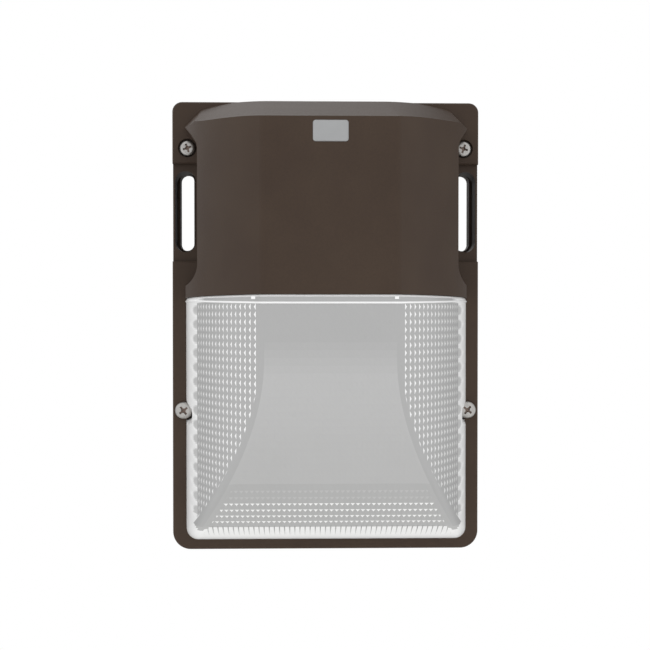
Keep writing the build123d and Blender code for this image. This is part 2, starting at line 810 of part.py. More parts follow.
with BuildPart() as driver_plate:
    low = bay_z + gear_plate_low
    high = half_h - gear_plate_high
    with BuildSketch(Plane.XZ.offset(gear_depth)):
        with Locations((0, (low + high) / 2)):
            RectangleRounded(gear_plate_x, high - low, gear_plate_r)
        with Locations(*low_gear_spots, *top_gear_spots):
            Circle(gear_screw_d / 2 + shank_clear, mode=Mode.SUBTRACT)
        with Locations(*driver_fixings, earth_spot):
            Circle(fixing_d / 2 + shank_clear, mode=Mode.SUBTRACT)
        with Locations(*supply_leads):
            Circle(bush_d / 2, mode=Mode.SUBTRACT)
    extrude(amount=gear_plate_thick)
finish(driver_plate.part, "driver_plate")

with BuildPart() as plate_screws:
    for x, z in low_gear_spots + top_gear_spots:
        add(pan_screw((x, -gear_depth, z), (0, 1, 0), gear_screw_len, gear_screw_d, gear_head_d,
                      gear_head_h))
finish(plate_screws.part, "plate_screws")

with BuildPart() as plate_bushes:
    with BuildSketch(Plane.XZ.offset(gear_depth)):
        with Locations(*supply_leads):
            Circle(bush_d / 2 - bush_clear)
            Circle(lead_d / 2 + bush_clear, mode=Mode.SUBTRACT)
    extrude(amount=gear_plate_thick)
    with BuildSketch(Plane.XZ.offset(frame_depth)):
        with Locations(*supply_leads):
            Circle(bush_d / 2 - bush_flange_w)
            Circle(lead_d / 2 + bush_clear, mode=Mode.SUBTRACT)
    extrude(amount=bush_flange)
finish(plate_bushes.part, "plate_bushes")

driver_mid_z = driver_base_z + driver_z / 2
lid_depth = driver_front - driver_lid_thick
with BuildPart() as driver_base:
    with BuildSketch(Plane.XZ.offset(frame_depth)):
        with Locations((0, driver_mid_z)):
            Rectangle(driver_x, driver_z)
    extrude(amount=driver_depth - driver_lid_thick)
    with BuildSketch(Plane.XZ.offset(frame_depth + driver_wall)):
        with Locations((0, driver_mid_z)):
            Rectangle(driver_x - 2 * driver_wall, driver_z - 2 * driver_wall)
    extrude(amount=driver_depth, mode=Mode.SUBTRACT)
    with BuildSketch(Plane.XZ.offset(frame_depth)):
        with Locations(*driver_fixings):
            Rectangle(driver_ear, driver_ear_z)
            Circle(fixing_d / 2 + shank_clear, mode=Mode.SUBTRACT)
    extrude(amount=driver_ear_thick)
finish(driver_base.part, "driver_base")

with BuildPart() as driver_lid:
    with BuildSketch(Plane.XZ.offset(lid_depth)):
        with Locations((0, driver_mid_z)):
            Rectangle(driver_x, driver_z)
    extrude(amount=driver_lid_thick)
    with BuildSketch(Plane.XZ.offset(lid_depth - driver_wall)):
        with Locations((0, driver_mid_z)):
            Rectangle(driver_x - 2 * driver_wall - gap, driver_z - 2 * driver_wall - gap)
            Rectangle(driver_x - 2 * (driver_wall + lid_rib), driver_z - 2 * (driver_wall + lid_rib),
                      mode=Mode.SUBTRACT)
    extrude(amount=driver_wall)
    chamfer(driver_lid.faces().sort_by(Axis.Y)[0].edges(), edge_r)
finish(driver_lid.part, "driver_lid")

circuit_depth = frame_depth + driver_wall
with BuildPart() as driver_board:
    with BuildSketch(Plane.XZ.offset(circuit_depth)):
        with Locations((0, driver_mid_z)):
            Rectangle(driver_x - 2 * (driver_wall + circuit_clear),
                      driver_z - 2 * (driver_wall + circuit_clear))
    extrude(amount=board_thick)
    with BuildSketch(Plane.XZ.offset(circuit_depth + board_thick)):
        with Locations((coil_x, driver_mid_z)):
            Rectangle(coil_size, coil_size)
    extrude(amount=coil_h)
    with BuildSketch(Plane.XZ.offset(circuit_depth + board_thick)):
        with Locations((-coil_x, driver_mid_z + capacitor_d), (-coil_x, driver_mid_z - capacitor_d),
                       (-driver_x / 2 + capacitor_in, driver_mid_z)):
            Circle(capacitor_d / 2)
    extrude(amount=coil_h)
finish(driver_board.part, "driver_board")

with BuildPart() as driver_screws:
    for x, z in driver_fixings:
        add(pan_screw((x, -frame_depth - driver_ear_thick, z), (0, -1, 0),
                      driver_ear_thick + gear_plate_thick + driver_screw_past, fixing_d,
                      fixing_head_d, fixing_head_h))
finish(driver_screws.part, "driver_screws")

# ---------------------------------------------------------------- supply terminals and earth
terminal_back = gear_depth - terminal_depth
terminal_ways_x = [terminal_pitch * way for way in (-1, 0, 1)]
terminal_low_z = driver_top_z - terminal_z
with BuildPart() as terminal_block:
    with BuildSketch(Plane.XZ.offset(terminal_back)):
        with Locations((0, terminal_mid_z)):
            Rectangle(terminal_x, terminal_z)
    extrude(amount=terminal_depth)
    chamfer(terminal_block.faces().sort_by(Axis.Y)[-1].edges(), edge_r)
    with BuildSketch(Plane.XZ.offset(terminal_back)):
        with Locations(*[(x, terminal_mid_z) for x in terminal_ways_x]):
            Circle(clamp_head_d / 2 + shank_clear)
    extrude(amount=clamp_drop, mode=Mode.SUBTRACT)
    with BuildSketch(Plane.XZ.offset(terminal_back + clamp_drop)):
        with Locations(*[(x, terminal_mid_z) for x in terminal_ways_x]):
            Circle(clamp_d / 2 + shank_clear)
    extrude(amount=clamp_len, mode=Mode.SUBTRACT)
    with BuildSketch(Plane.XY.offset(terminal_low_z)):
        with Locations(*[(x, -gear_depth + terminal_depth / 3) for x in terminal_ways_x]):
            Rectangle(entry_size, entry_size)
    extrude(amount=terminal_entry, mode=Mode.SUBTRACT)
finish(terminal_block.part, "terminal_block")

with BuildPart() as terminal_screws:
    for x in terminal_ways_x:
        add(pan_screw((x, -terminal_back - clamp_drop, terminal_mid_z), (0, 1, 0), clamp_screw_len, clamp_d,
                      clamp_head_d, clamp_head_h))
finish(terminal_screws.part, "terminal_screws")

supply_in = gear_depth - terminal_depth / 2
supply_out = frame_depth + driver_depth / 2
for name, x in (("line_lead", -terminal_pitch), ("neutral_lead", 0)):
    supply_lead = lead(name, [(x, -supply_in, driver_top_z), (x, -supply_in, supply_z),
                              (x, -supply_out, supply_z), (x, -supply_out, driver_top_z)])
    finish(supply_lead, name)

lug_depth = gear_depth - lug_barrel_d / 2
lug_x = earth_spot[0] - lug_len
with BuildPart() as earth_lug:
    with BuildSketch(Plane.XZ.offset(gear_depth - lug_thick)):
        with Locations(earth_spot):
            Circle(gear_head_d / 2)
        with Locations((earth_spot[0] - lug_len / 2, earth_spot[1])):
            Rectangle(lug_len, lug_barrel_d)
        with Locations(earth_spot):
            Circle(fixing_d / 2 + shank_clear, mode=Mode.SUBTRACT)
    extrude(amount=lug_thick)
    with BuildSketch(Plane.YZ.offset(lug_x)):
        with Locations((-lug_depth, earth_spot[1])):
            Circle(lug_barrel_d / 2)
    extrude(amount=lug_len / 3)
finish(earth_lug.part, "earth_lug")

earth_lead = offset_lead("earth_lead", (terminal_x / 2, -supply_in, terminal_mid_z),
                         (lug_x, -lug_depth, terminal_mid_z))
finish(earth_lead, "earth_lead")

with BuildPart() as earth_screw:
    add(pan_screw((earth_spot[0], -gear_depth + lug_thick, earth_spot[1]), (0, 1, 0),
                  lug_thick + 2 * gear_plate_thick, fixing_d, fixing_head_d, fixing_head_h))
finish(earth_screw.part, "earth_screw")

# ---------------------------------------------------------------- leads down to the light engine
lead_z = board_low - connector_h / 2
lead_front = frame_depth + lead_hole_reach
led_lead_z = driver_base_z + led_lead_up
for name, x in (("led_lead_red", lead_d), ("led_lead_black", -lead_d)):
    led_lead = lead(name, [(x, -driver_front, led_lead_z), (x, -driver_front - led_lead_out, led_lead_z),
                           (x, -lead_front, bay_z + led_lead_over), (x, -lead_front, lead_z),
                           (x, connector_front, lead_z)])
    finish(led_lead, name)

# ---------------------------------------------------------------- photocell
with BuildPart() as photocell_window:
    with BuildSketch(Plane.XZ.offset(hood_wall_depth)):
        with Locations((0, window_mid_z)):
            RectangleRounded(window_x - gap / 2, window_z - gap / 2, window_r)
    extrude(amount=cast_wall + window_proud)
    chamfer(photocell_window.faces().sort_by(Axis.Y)[0].edges(), 0.75 * window_proud)
finish(photocell_window.part, "photocell_window")

sensor_back = hood_wall_depth - holder_boss_len
with BuildPart() as photocell_sensor:
    with BuildSketch(Plane.XZ.offset(sensor_back)):
        with Locations((0, window_mid_z)):
            Rectangle(sensor_x, sensor_z)
    extrude(amount=holder_boss_len)
finish(photocell_sensor.part, "photocell_sensor")

with BuildPart() as photocell_bracket:
    with BuildSketch(Plane.XZ.offset(sensor_back - holder_thick)):
        with Locations((0, window_mid_z)):
            SlotOverall(holder_x, holder_z)
            Circle(lead_pair_hole_d / 2, mode=Mode.SUBTRACT)
        with Locations(*holder_spots):
            Circle(holder_screw_d / 2 + shank_clear, mode=Mode.SUBTRACT)
    extrude(amount=holder_thick)
finish(photocell_bracket.part, "photocell_bracket")

with BuildPart() as photocell_screws:
    for x, z in holder_spots:
        add(pan_screw((x, -sensor_back + holder_thick, z), (0, 1, 0), holder_hole_len, holder_screw_d,
                      holder_head_d, holder_head_h))
finish(photocell_screws.part, "photocell_screws")

with BuildPart() as photocell_leads:
    for x in (-lead_pair * lead_d / 2, lead_pair * lead_d / 2):
        add(offset_lead("photocell lead", (x, -sensor_back, window_mid_z),
                        (x, -driver_front, driver_top_z - photocell_lead_in)))
finish(photocell_leads.part, "photocell_leads")

# ---------------------------------------------------------------- captive cover screws
top_seat = frame_depth - cbore_depth
cover_screws = [("top_right", top_screw, top_seat, top_head_d, top_turn),
                ("top_left", (-top_screw[0], top_screw[1]), top_seat, top_head_d, -top_turn),
                ("mid_right", mid_screw, frame_depth, mid_head_d, mid_turn),
                ("mid_left", (-mid_screw[0], mid_screw[1]), frame_depth, mid_head_d, -mid_turn)]
for place, spot, seat, head_d, turn in cover_screws:
    screw = pan_screw((spot[0], -seat, spot[1]), (0, -1, 0), seat - screw_end_depth, shank_d, head_d,
                      head_h, turn)
    finish(screw, f"cover_screw_{place}")
    with BuildPart() as screw_ring:
        with BuildSketch(Plane.XZ.offset(ring_depth)):
            with Locations(spot):
                Circle(ring_d / 2)
                Circle(shank_d / 2, mode=Mode.SUBTRACT)
        extrude(amount=ring_thick)
    finish(screw_ring.part, f"screw_ring_{place}")
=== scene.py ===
# %% [markdown]
# # A wall pack light in the studio
#
# The light is a die-cast box for an outside wall: a bronze coated hood with its lamp under it, and
# a big moulded refractor that spreads the light down the wall. The exact shapes come from the CAD
# frame, which we load first and never move. Blender adds the finishes, the studio and the one
# piece that is all surface pattern, the refractor. The picture that we match shows only the front.
# What is said here about materials, depths and reasons is what such a light usually has, and no
# more than a guess where a comment says so.

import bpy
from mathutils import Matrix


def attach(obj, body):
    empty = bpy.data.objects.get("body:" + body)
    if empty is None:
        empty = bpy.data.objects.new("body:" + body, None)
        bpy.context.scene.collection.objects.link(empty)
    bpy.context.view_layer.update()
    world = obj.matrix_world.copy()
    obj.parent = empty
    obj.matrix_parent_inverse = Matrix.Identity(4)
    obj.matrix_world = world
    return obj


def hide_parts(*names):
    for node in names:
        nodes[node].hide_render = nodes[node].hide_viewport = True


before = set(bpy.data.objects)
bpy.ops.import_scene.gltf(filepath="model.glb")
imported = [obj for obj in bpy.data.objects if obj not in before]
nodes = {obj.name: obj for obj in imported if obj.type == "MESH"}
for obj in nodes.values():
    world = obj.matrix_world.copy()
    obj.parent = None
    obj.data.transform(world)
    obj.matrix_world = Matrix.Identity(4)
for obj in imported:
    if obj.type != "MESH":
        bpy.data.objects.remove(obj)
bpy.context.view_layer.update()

# %% [markdown]
# ## Units and colours
#
# Drawings of castings are in millimetres and Blender works in metres, so one constant turns one
# into the other. Colours on a paint chart are sRGB. A shader wants linear light, so one function
# makes that change and every colour goes through it.

# %% Helpers for units and colours
from math import acos, asin, atan2, cos, degrees, pi, sin, sqrt

import bmesh
import bpy
from mathutils import Vector

MM = 0.001


def linear(hex_colour):
    """An sRGB hex colour as the linear RGBA that shaders take."""
    parts = [int(hex_colour[i:i + 2], 16) / 255 for i in (1, 3, 5)]
    return (*[c / 12.92 if c <= 0.04045 else ((c + 0.055) / 1.055) ** 2.4 for c in parts], 1.0)


print("mid grey in linear light:", [round(c, 3) for c in linear("#808080")])

# %% [markdown]
# ## Camera
#
# The camera stands a little over half a metre away, almost square on and a little left of the
# middle, so the ears show only as thin walls inside their slots. This distance fits the picture
# together with the depth of the CAD model. A front view alone can't settle the two apart, so both
# are a guess. A longish lens keeps the frame's edges nearly parallel. We place the camera by
# distance and aim it with a quaternion instead of guessing three angles.

# %% The camera
CAMERA_AT = Vector((-14.0, -580.3, 9.2)) * MM
AIM_AT = Vector((-0.4, -24.0, 0.6)) * MM
FOCAL_MM = 61.9

camera_data = bpy.data.cameras.new("studio_camera")
camera_data.lens = FOCAL_MM
camera_data.sensor_width = 36.0
camera = bpy.data.objects.new("studio_camera", camera_data)
camera.location = CAMERA_AT
camera.rotation_mode = "QUATERNION"
camera.rotation_quaternion = (AIM_AT - CAMERA_AT).to_track_quat("-Z", "Y")
bpy.context.scene.collection.objects.link(camera)
bpy.context.scene.camera = camera
print("camera distance in mm:", round((AIM_AT - CAMERA_AT).length / MM))

# %% [markdown]
# ## Adding shader nodes
#
# Every material below is a small graph. Rather than one helper per kind of node, one function
# adds any node, sets its options, and either writes a value into an input or links it.

# %% The one node helper
def add(tree, kind, inputs=None, **options):
    """Adds a node of any kind, with its options and its inputs set or linked."""
    node = tree.nodes.new("ShaderNode" + kind)
    for name, value in options.items():
        setattr(node, name, value)
    for name, value in (inputs or {}).items():
        if isinstance(value, bpy.types.NodeSocket):
            tree.links.new(value, node.inputs[name])
        else:
            node.inputs[name].default_value = value
    return node


print("node helper ready")

# %% [markdown]
# ## Studio light
#
# The picture looks as if taken in a white room: soft light comes from everywhere, and the
# background burns out to clean white. We could build walls of lamps. A world shader does the
# same with no noise. The camera sees plain white. Everything else sees a room that is white in
# front. Behind, only the upper left is as bright, which gives the roof its gleam. The upper right
# is nearly black and the lower half is dim, so that the flanks of the hood and the slots in the
# ears stay dark. The three constants with pairs say over which part of the sky each change runs.

# %% The world
ROOM = 1.0
BACK_LEFT = 1.0
BACK_RIGHT = 0.05
BACK_LOW = 0.3
ROOM_TURN = (0.0, 0.3)
ROOM_BACK = (0.1, 0.6)
ROOM_RISE = (0.0, 0.3)

world = bpy.data.worlds.new("studio")
world.use_nodes = True
tree = world.node_tree
tree.nodes.clear()
direction = add(tree, "TexCoord")
axes = add(tree, "SeparateXYZ", {"Vector": direction.outputs["Generated"]})


def smooth_step(axis, over, low=0.0, high=1.0):
    """Runs smoothly from one level to another over a range of one axis of the sky."""
    return add(tree, "MapRange", {"Value": axes.outputs[axis], "From Min": over[0],
                                  "From Max": over[1], "To Min": low, "To Max": high},
               interpolation_type="SMOOTHSTEP").outputs["Result"]


across = smooth_step("X", ROOM_TURN, BACK_LEFT, BACK_RIGHT)
behind = add(tree, "Mix", {"Factor": smooth_step("Z", ROOM_RISE), "A": BACK_LOW, "B": across})
room = add(tree, "Mix", {"Factor": smooth_step("Y", ROOM_BACK), "A": ROOM,
                         "B": behind.outputs["Result"]})
seen = add(tree, "LightPath")
shown = add(tree, "Mix", {"Factor": seen.outputs["Is Camera Ray"], "A": room.outputs["Result"],
                          "B": 1.0})
sky = add(tree, "Background", {"Color": (1.0, 1.0, 1.0, 1.0), "Strength": shown.outputs["Result"]})
tree.links.new(sky.outputs["Background"], add(tree, "OutputWorld").inputs["Surface"])
bpy.context.scene.world = world
bpy.context.scene.view_settings.view_transform = "Standard"
print("world: room", ROOM, "behind on the right", BACK_RIGHT)

# %% [markdown]
# ## Floor
#
# A wall light has no foot to stand on, so it hangs in front of the lightbox over a pale floor. The
# floor is a wide disc, well below, whose rim fades out so that no edge shows from any side.

# %% The floor
FLOOR_R = 0.9
FLOOR_Z = -0.5
FLOOR_SIDES = 96
FLOOR_FADE = (0.5 * FLOOR_R, 0.98 * FLOOR_R)

floor_mesh = bpy.data.meshes.new("studio_floor")
rim = [(FLOOR_R * cos(2 * pi * k / FLOOR_SIDES), FLOOR_R * sin(2 * pi * k / FLOOR_SIDES), FLOOR_Z)
       for k in range(FLOOR_SIDES)]
floor_mesh.from_pydata(rim, [], [tuple(range(FLOOR_SIDES))])
floor = bpy.data.objects.new("studio_floor", floor_mesh)
bpy.context.scene.collection.objects.link(floor)

floor_paint = bpy.data.materials.new("matt_floor_paint")
floor_paint.use_nodes = True
tree = floor_paint.node_tree
tree.nodes.clear()
place = add(tree, "TexCoord")
flat = add(tree, "VectorMath", {0: place.outputs["Object"], 1: (1.0, 1.0, 0.0)},
           operation="MULTIPLY")
radius = add(tree, "VectorMath", {0: flat.outputs["Vector"]}, operation="LENGTH")
fade = add(tree, "MapRange", {"Value": radius.outputs["Value"], "From Min": FLOOR_FADE[0],
                              "From Max": FLOOR_FADE[1], "To Min": 1.0, "To Max": 0.0},
           interpolation_type="SMOOTHSTEP")
paint = add(tree, "BsdfPrincipled", {"Base Color": linear("#F2F2F0"), "Roughness": 0.8,
                                     "Alpha": fade.outputs["Result"]})
tree.links.new(paint.outputs["BSDF"], add(tree, "OutputMaterial").inputs["Surface"])
floor_mesh.materials.append(floor_paint)
print("floor radius in mm:", FLOOR_R / MM)

# %% [markdown]
# ## Starting and closing a material
#
# Patterns are laid over the piece in object coordinates. They are in metres, so a pattern whose
# real size is known in millimetres gets its scale from that size. Nearly every finish needs the
# same three steps, so each has a function: a noise of a real size, a value stretched to a range,
# and a mix of two colours. A noise rarely leaves the span from 0.3 to 0.7, so that is the span
# that is stretched.

# %% Material helpers
def new_finish(name):
    """A material with an empty graph, and its object coordinates."""
    material = bpy.data.materials.new(name)
    material.use_nodes = True
    material.node_tree.nodes.clear()
    tree = material.node_tree
    return material, tree, add(tree, "TexCoord").outputs["Object"]


def close(material, tree, shader):
    """Links the shader to the output, and names the material as made."""
    tree.links.new(shader.outputs[0], add(tree, "OutputMaterial").inputs["Surface"])
    print("finish:", material.name)
    return material


def noise(tree, where, size_mm, detail=2.0):
    """Noise whose features are about that many millimetres wide."""
    return add(tree, "TexNoise", {"Vector": where, "Scale": 1.0 / (size_mm * MM),
                                  "Detail": detail}).outputs["Fac"]


def spread(tree, value, low, high, span=(0.0, 1.0)):
    """Stretches a value from one span to the levels low and high."""
    return add(tree, "MapRange", {"Value": value, "From Min": span[0], "From Max": span[1],
                                  "To Min": low, "To Max": high}).outputs["Result"]


def mixed(tree, share, first, second):
    """Mixes two colours, each a socket or a fixed colour."""
    return add(tree, "MixRGB", {"Fac": share, "Color1": first, "Color2": second}).outputs["Color"]


NOISE_SPAN = (0.3, 0.7)
print("most of a noise lies in", NOISE_SPAN)

# %% [markdown]
# ## Bronze powder coat on cast aluminium
#
# The housing and cover are aluminium die castings, blasted and powder coated in dark bronze. The
# powder flows out into a skin about 80 microns thick with a very fine orange peel, so the gloss
# is broken but never gone. We start from a polyester's IOR of 1.5 and a satin roughness, then
# turn the specular down, because the fine texture hides part of each reflection at low angles.
# The real grain is perhaps 0.4 mm. It is drawn at 0.7 mm, or it wouldn't show at all.

# %% Bronze powder coat
COAT_GRAIN_MM = 0.7
COAT_CLOUD_MM = 28.0
COAT_SKIN_MM = 0.08
COAT_COLOURS = ("#3E3026", "#43352A")

bronze_coat, tree, where = new_finish("bronze_powder_coat")
grain = noise(tree, where, COAT_GRAIN_MM, 3.0)
shade = add(tree, "ValToRGB", {"Fac": noise(tree, where, COAT_CLOUD_MM)})
for stop, position, colour in zip(shade.color_ramp.elements, NOISE_SPAN, COAT_COLOURS):
    stop.position, stop.color = position, linear(colour)
fleck = add(tree, "VectorMath", {0: shade.outputs["Color"],
                                 "Scale": spread(tree, grain, 0.93, 1.07, NOISE_SPAN)},
            operation="SCALE")
peel = add(tree, "Bump", {"Height": grain, "Strength": 0.12, "Distance": COAT_SKIN_MM * MM})
coat = add(tree, "BsdfPrincipled", {"Base Color": fleck.outputs["Vector"], "IOR": 1.5,
                                    "Roughness": spread(tree, grain, 0.46, 0.56, NOISE_SPAN),
                                    "Specular IOR Level": 0.24, "Normal": peel.outputs["Normal"]})
close(bronze_coat, tree, coat)

# %% [markdown]
# ## Zinc plated steel screws
#
# The cover screws are taken to be cold headed steel with a clear zinc plate. We assume that the
# heading die leaves faint rings about 0.3 mm apart on the dome of each head. The plate is a soft
# satin, a little blotchy where it has been handled. One noise stands in for the rings and a wider
# one for the blotches. The cross recess gets painted shade: its colour turns a dark brown grey, for
# the shadow inside it. The painted shade starts at a depth given in the light's own Y, and the
# heads of the two upper screws sit 2 mm nearer the wall than the lower two.

# %% Screw steel
HEAD_GRAIN_MM = 0.3
HEAD_BLOTCH_MM = 2.5
HEAD_SKIN_MM = 0.05
RECESS_SHADE_Y = (-23.9, -23.3)
UPPER_DEEPER = 2.0

screw_steel, tree, where = new_finish("zinc_plated_screw_steel")
grain = noise(tree, where, HEAD_GRAIN_MM, 4.0)
plate = mixed(tree, noise(tree, where, HEAD_BLOTCH_MM), linear("#A6A4A1"), linear("#C5C3C0"))
axes = add(tree, "SeparateXYZ", {"Vector": where})
lower = add(tree, "Math", {0: axes.outputs["Z"], 1: 0.0}, operation="LESS_THAN")
depth = add(tree, "Math", {0: lower.outputs["Value"], 1: UPPER_DEEPER * MM, 2: axes.outputs["Y"]},
            operation="MULTIPLY_ADD")
# Painted shade: nearer the wall than the head's face, the colour mixes towards dark brown.
recess_shade = spread(tree, depth.outputs["Value"], 0.0, 1.0, [y * MM for y in RECESS_SHADE_Y])
rings = add(tree, "Bump", {"Height": grain, "Strength": 0.25, "Distance": HEAD_SKIN_MM * MM})
steel = add(tree, "BsdfPrincipled", {"Base Color": mixed(tree, recess_shade, plate, linear("#7D6E66")),
                                     "Metallic": 1.0,
                                     "Roughness": spread(tree, grain, 0.34, 0.52, NOISE_SPAN),
                                     "Normal": rings.outputs["Normal"]})
close(screw_steel, tree, steel)

# %% [markdown]
# ## Moulded plastics, rubber and wire
#
# The small parts inside the light are moulded or extruded: rubber seals, the driver's case,
# terminals, and the sleeves of the leads. Only the photocell's window shows in the picture, so the
# others have colours that are usual for them. Each differs in colour, sheen and grain size, and is
# otherwise the same idea: a mass-coloured material with a fine mould texture, and slight mottling
# over patches twelve times as wide. One function makes such a finish from the colour, gloss and
# grain of each.

# %% A function for moulded finishes
MOTTLE_TIMES = 12
GLOSS_SWING = 0.08


def moulded(name, dark, light, ior, roughness, grain_mm, relief_mm):
    """A mass-coloured moulded or extruded material with a fine grain."""
    material, tree, where = new_finish(name)
    grain = noise(tree, where, grain_mm, 3.0)
    mottle = noise(tree, where, MOTTLE_TIMES * grain_mm)
    skin = add(tree, "Bump", {"Height": grain, "Strength": 0.3, "Distance": relief_mm * MM})
    gloss = spread(tree, grain, roughness - GLOSS_SWING, roughness + GLOSS_SWING)
    shader = add(tree, "BsdfPrincipled", {"Base Color": mixed(tree, mottle, linear(dark),
                                                              linear(light)),
                                          "IOR": ior, "Roughness": gloss,
                                          "Normal": skin.outputs["Normal"]})
    return close(material, tree, shader)


seal_rubber = moulded("epdm_seal_rubber", "#1B1B1C", "#262627", 1.52, 0.62, 0.6, 0.05)
sealant = moulded("silicone_sealant", "#D8D8D4", "#E6E6E2", 1.43, 0.35, 1.5, 0.04)
driver_plastic = moulded("polycarbonate_driver_case", "#26282A", "#303234", 1.58, 0.42, 0.4, 0.03)
white_plastic = moulded("nylon_terminal_block", "#DDDCD6", "#EBEAE4", 1.53, 0.4, 0.5, 0.03)
black_lead = moulded("black_pvc_sleeve", "#17181A", "#222326", 1.53, 0.38, 0.8, 0.03)
white_lead = moulded("white_pvc_sleeve", "#D5D4CE", "#E4E3DD", 1.53, 0.38, 0.8, 0.03)
green_lead = moulded("green_pvc_sleeve", "#1D6B33", "#27803F", 1.53, 0.38, 0.8, 0.03)
red_lead = moulded("red_pvc_sleeve", "#A51D1B", "#BC2825", 1.53, 0.38, 0.8, 0.03)
board_white = moulded("white_solder_mask", "#E4E5E2", "#F0F1EE", 1.5, 0.3, 0.5, 0.01)
led_phosphor = moulded("yellow_led_phosphor", "#D9B23A", "#EBCB5C", 1.41, 0.45, 0.25, 0.02)
white_sheet = moulded("white_enamelled_steel", "#E8E8E5", "#F1F1EE", 1.5, 0.32, 0.9, 0.02)
photocell_lens = moulded("frosted_photocell_window", "#9C9D9E", "#A5A6A7", 1.49, 0.22, 0.5, 0.01)

# %% [markdown]
# ## Metals inside
#
# None of these shows in the picture either, so they are guesses. The gear plate is galvanised
# sheet, whose zinc freezes into flat crystals about 6 mm across, the spangle. The lug is tinned
# copper, and the earth screws carry a green dye over their zinc so an
# electrician finds them. Voronoi cells draw the spangle, since it too grows from seeds until the
# crystals meet.

# %% Galvanised plate, tinned copper and green screws
SPANGLE_MM = 6.0


def plated(name, dark, light, cell_mm, rough_low, rough_high):
    """A plated metal whose crystals or polishing marks differ a little in tone and gloss."""
    material, tree, where = new_finish(name)
    cells = add(tree, "TexVoronoi", {"Vector": where, "Scale": 1.0 / (cell_mm * MM)})
    tone = add(tree, "SeparateColor", {"Color": cells.outputs["Color"]})
    shade = mixed(tree, tone.outputs["Red"], linear(dark), linear(light))
    gloss = spread(tree, tone.outputs["Green"], rough_low, rough_high)
    shader = add(tree, "BsdfPrincipled", {"Base Color": shade, "Metallic": 1.0,
                                          "Roughness": gloss})
    return close(material, tree, shader)


zinc_steel = plated("galvanised_sheet", "#A8ADB0", "#C6CACC", SPANGLE_MM, 0.3, 0.5)
tinned_copper = plated("tinned_copper_lug", "#B9B8B2", "#CFCEC8", 0.8, 0.25, 0.4)
green_screw = plated("green_dyed_zinc", "#2C7A3A", "#3A9249", 0.8, 0.3, 0.45)

# %% [markdown]
# ## Circuit board
#
# The driver's board and its components are hidden in the driver's case, so one finish, a guess
# again, does for both: glass laminate under green solder mask, which is a hard glossy resin. It is
# made like the moulded plastics, with the weave of the glass as its grain.

# %% Circuit green
circuit_green = moulded("green_circuit_laminate", "#1F5A36", "#2B6E45", 1.55, 0.35, 0.6, 0.02)

# %% [markdown]
# ## Prismatic polycarbonate
#
# The refractor is taken to be moulded in polycarbonate, with an IOR of 1.585, though acrylic would
# look much the same. Its prisms break up whatever is behind them into an even pale grey. Some of
# their walls are nearly white, probably because they bend light from the white room straight
# towards us. Tracing that through the real thickness would take a great many samples. So each
# face will carry a number, its gleam, and the finish mixes a grey body colour with near white by
# that number, under one glossy skin. The gleam isn't optics. The grey varies a
# little over 40 mm, as if the melt had flowed so, and the gloss over 0.6 mm, like a polished mould.

# %% Refractor polycarbonate
FLOW_MM = 40.0
POLISH_MM = 0.6

refractor_finish, tree, where = new_finish("prismatic_polycarbonate")
milk = mixed(tree, noise(tree, where, FLOW_MM), linear("#ADADAD"), linear("#B2B2B2"))
# Painted light: the gleam mixes the grey body towards near white, for the prisms' glints and glow.
gleam = add(tree, "Attribute", attribute_name="gleam").outputs["Fac"]
gloss = spread(tree, noise(tree, where, POLISH_MM), 0.16, 0.26)
body = add(tree, "BsdfPrincipled", {"Base Color": mixed(tree, gleam, milk, linear("#FDFDFD")),
                                    "IOR": 1.585, "Roughness": gloss})
close(refractor_finish, tree, body)

# %% [markdown]
# ## Handing out the finishes
#
# Each CAD node came with a slot name for its finish, so a table from slot to material dresses the
# whole frame. Only the material slots are touched, never a mesh.

# %% Dress the CAD nodes
FINISHES = {
    "bronze_coat": bronze_coat, "screw_steel": screw_steel, "seal_rubber": seal_rubber,
    "sealant": sealant, "driver_plastic": driver_plastic, "white_plastic": white_plastic,
    "black_lead": black_lead, "white_lead": white_lead, "green_lead": green_lead,
    "red_lead": red_lead, "board_white": board_white, "led_phosphor": led_phosphor,
    "white_sheet": white_sheet, "photocell_lens": photocell_lens, "zinc_steel": zinc_steel,
    "tinned_copper": tinned_copper, "green_screw": green_screw, "circuit_green": circuit_green,
    "refractor": refractor_finish,
}
for name, node in nodes.items():
    for slot in node.material_slots:
        slot.material = FINISHES[slot.material.name.split(".")[0]]
print("dressed", len(nodes), "nodes in", len(FINISHES), "finishes")

# %% [markdown]
# ## The refractor's form
#
# The hood and the refractor share one plan: a flat front 58 mm wide with an arc of 107.3 mm
# radius down each side. Seen from the side, the refractor's front runs straight down for 27 mm
# and then follows a quarter of an ellipse back to the frame. These few numbers are the CAD's own,
# so the new piece lands exactly where the plain one was. Two heights that differ by less than the
# first of them count as the same.

# %% Sizes of the refractor, in millimetres
NEAR = 0.01
FRAME_FACE = 24.5
FLAT_HALF = 29.0
HOOD_REACH = 83.0
SIDE_FOOT_X = 69.15
SIDE_CENTRE = -0.7
CREASE_R = 5.4
LENS_INSET = 0.4
LENS_WALL = 2.4
BREAK_Z = -12.0
LENS_LOW = -103.9
FOOT_REACH = 3.0
BACK = -3.4
FLANGE_FRONT = -1.9
RIM_Z = 13.55
RIM_RISE = 1.25

side_rise = HOOD_REACH - SIDE_CENTRE
side_run = SIDE_FOOT_X - FLAT_HALF
SIDE_R = (side_run ** 2 + side_rise ** 2) / (2 * side_run)
SIDE_CX = SIDE_FOOT_X - SIDE_R
print("side arc radius:", round(SIDE_R, 2))

# %% [markdown]
# ## Points on a skin
#
# A skin is the form shrunk by an inset: nothing for the outside, the wall's 2.4 mm for the inside.
# Three functions give its points. The side follows the arc, the front follows the ellipse, and a
# rolled edge joins them. A ball of the crease's radius that rolls along both faces touches each
# at one point, and the edge is the arc between those two points.

# %% The skin's three faces
HALVINGS = 40


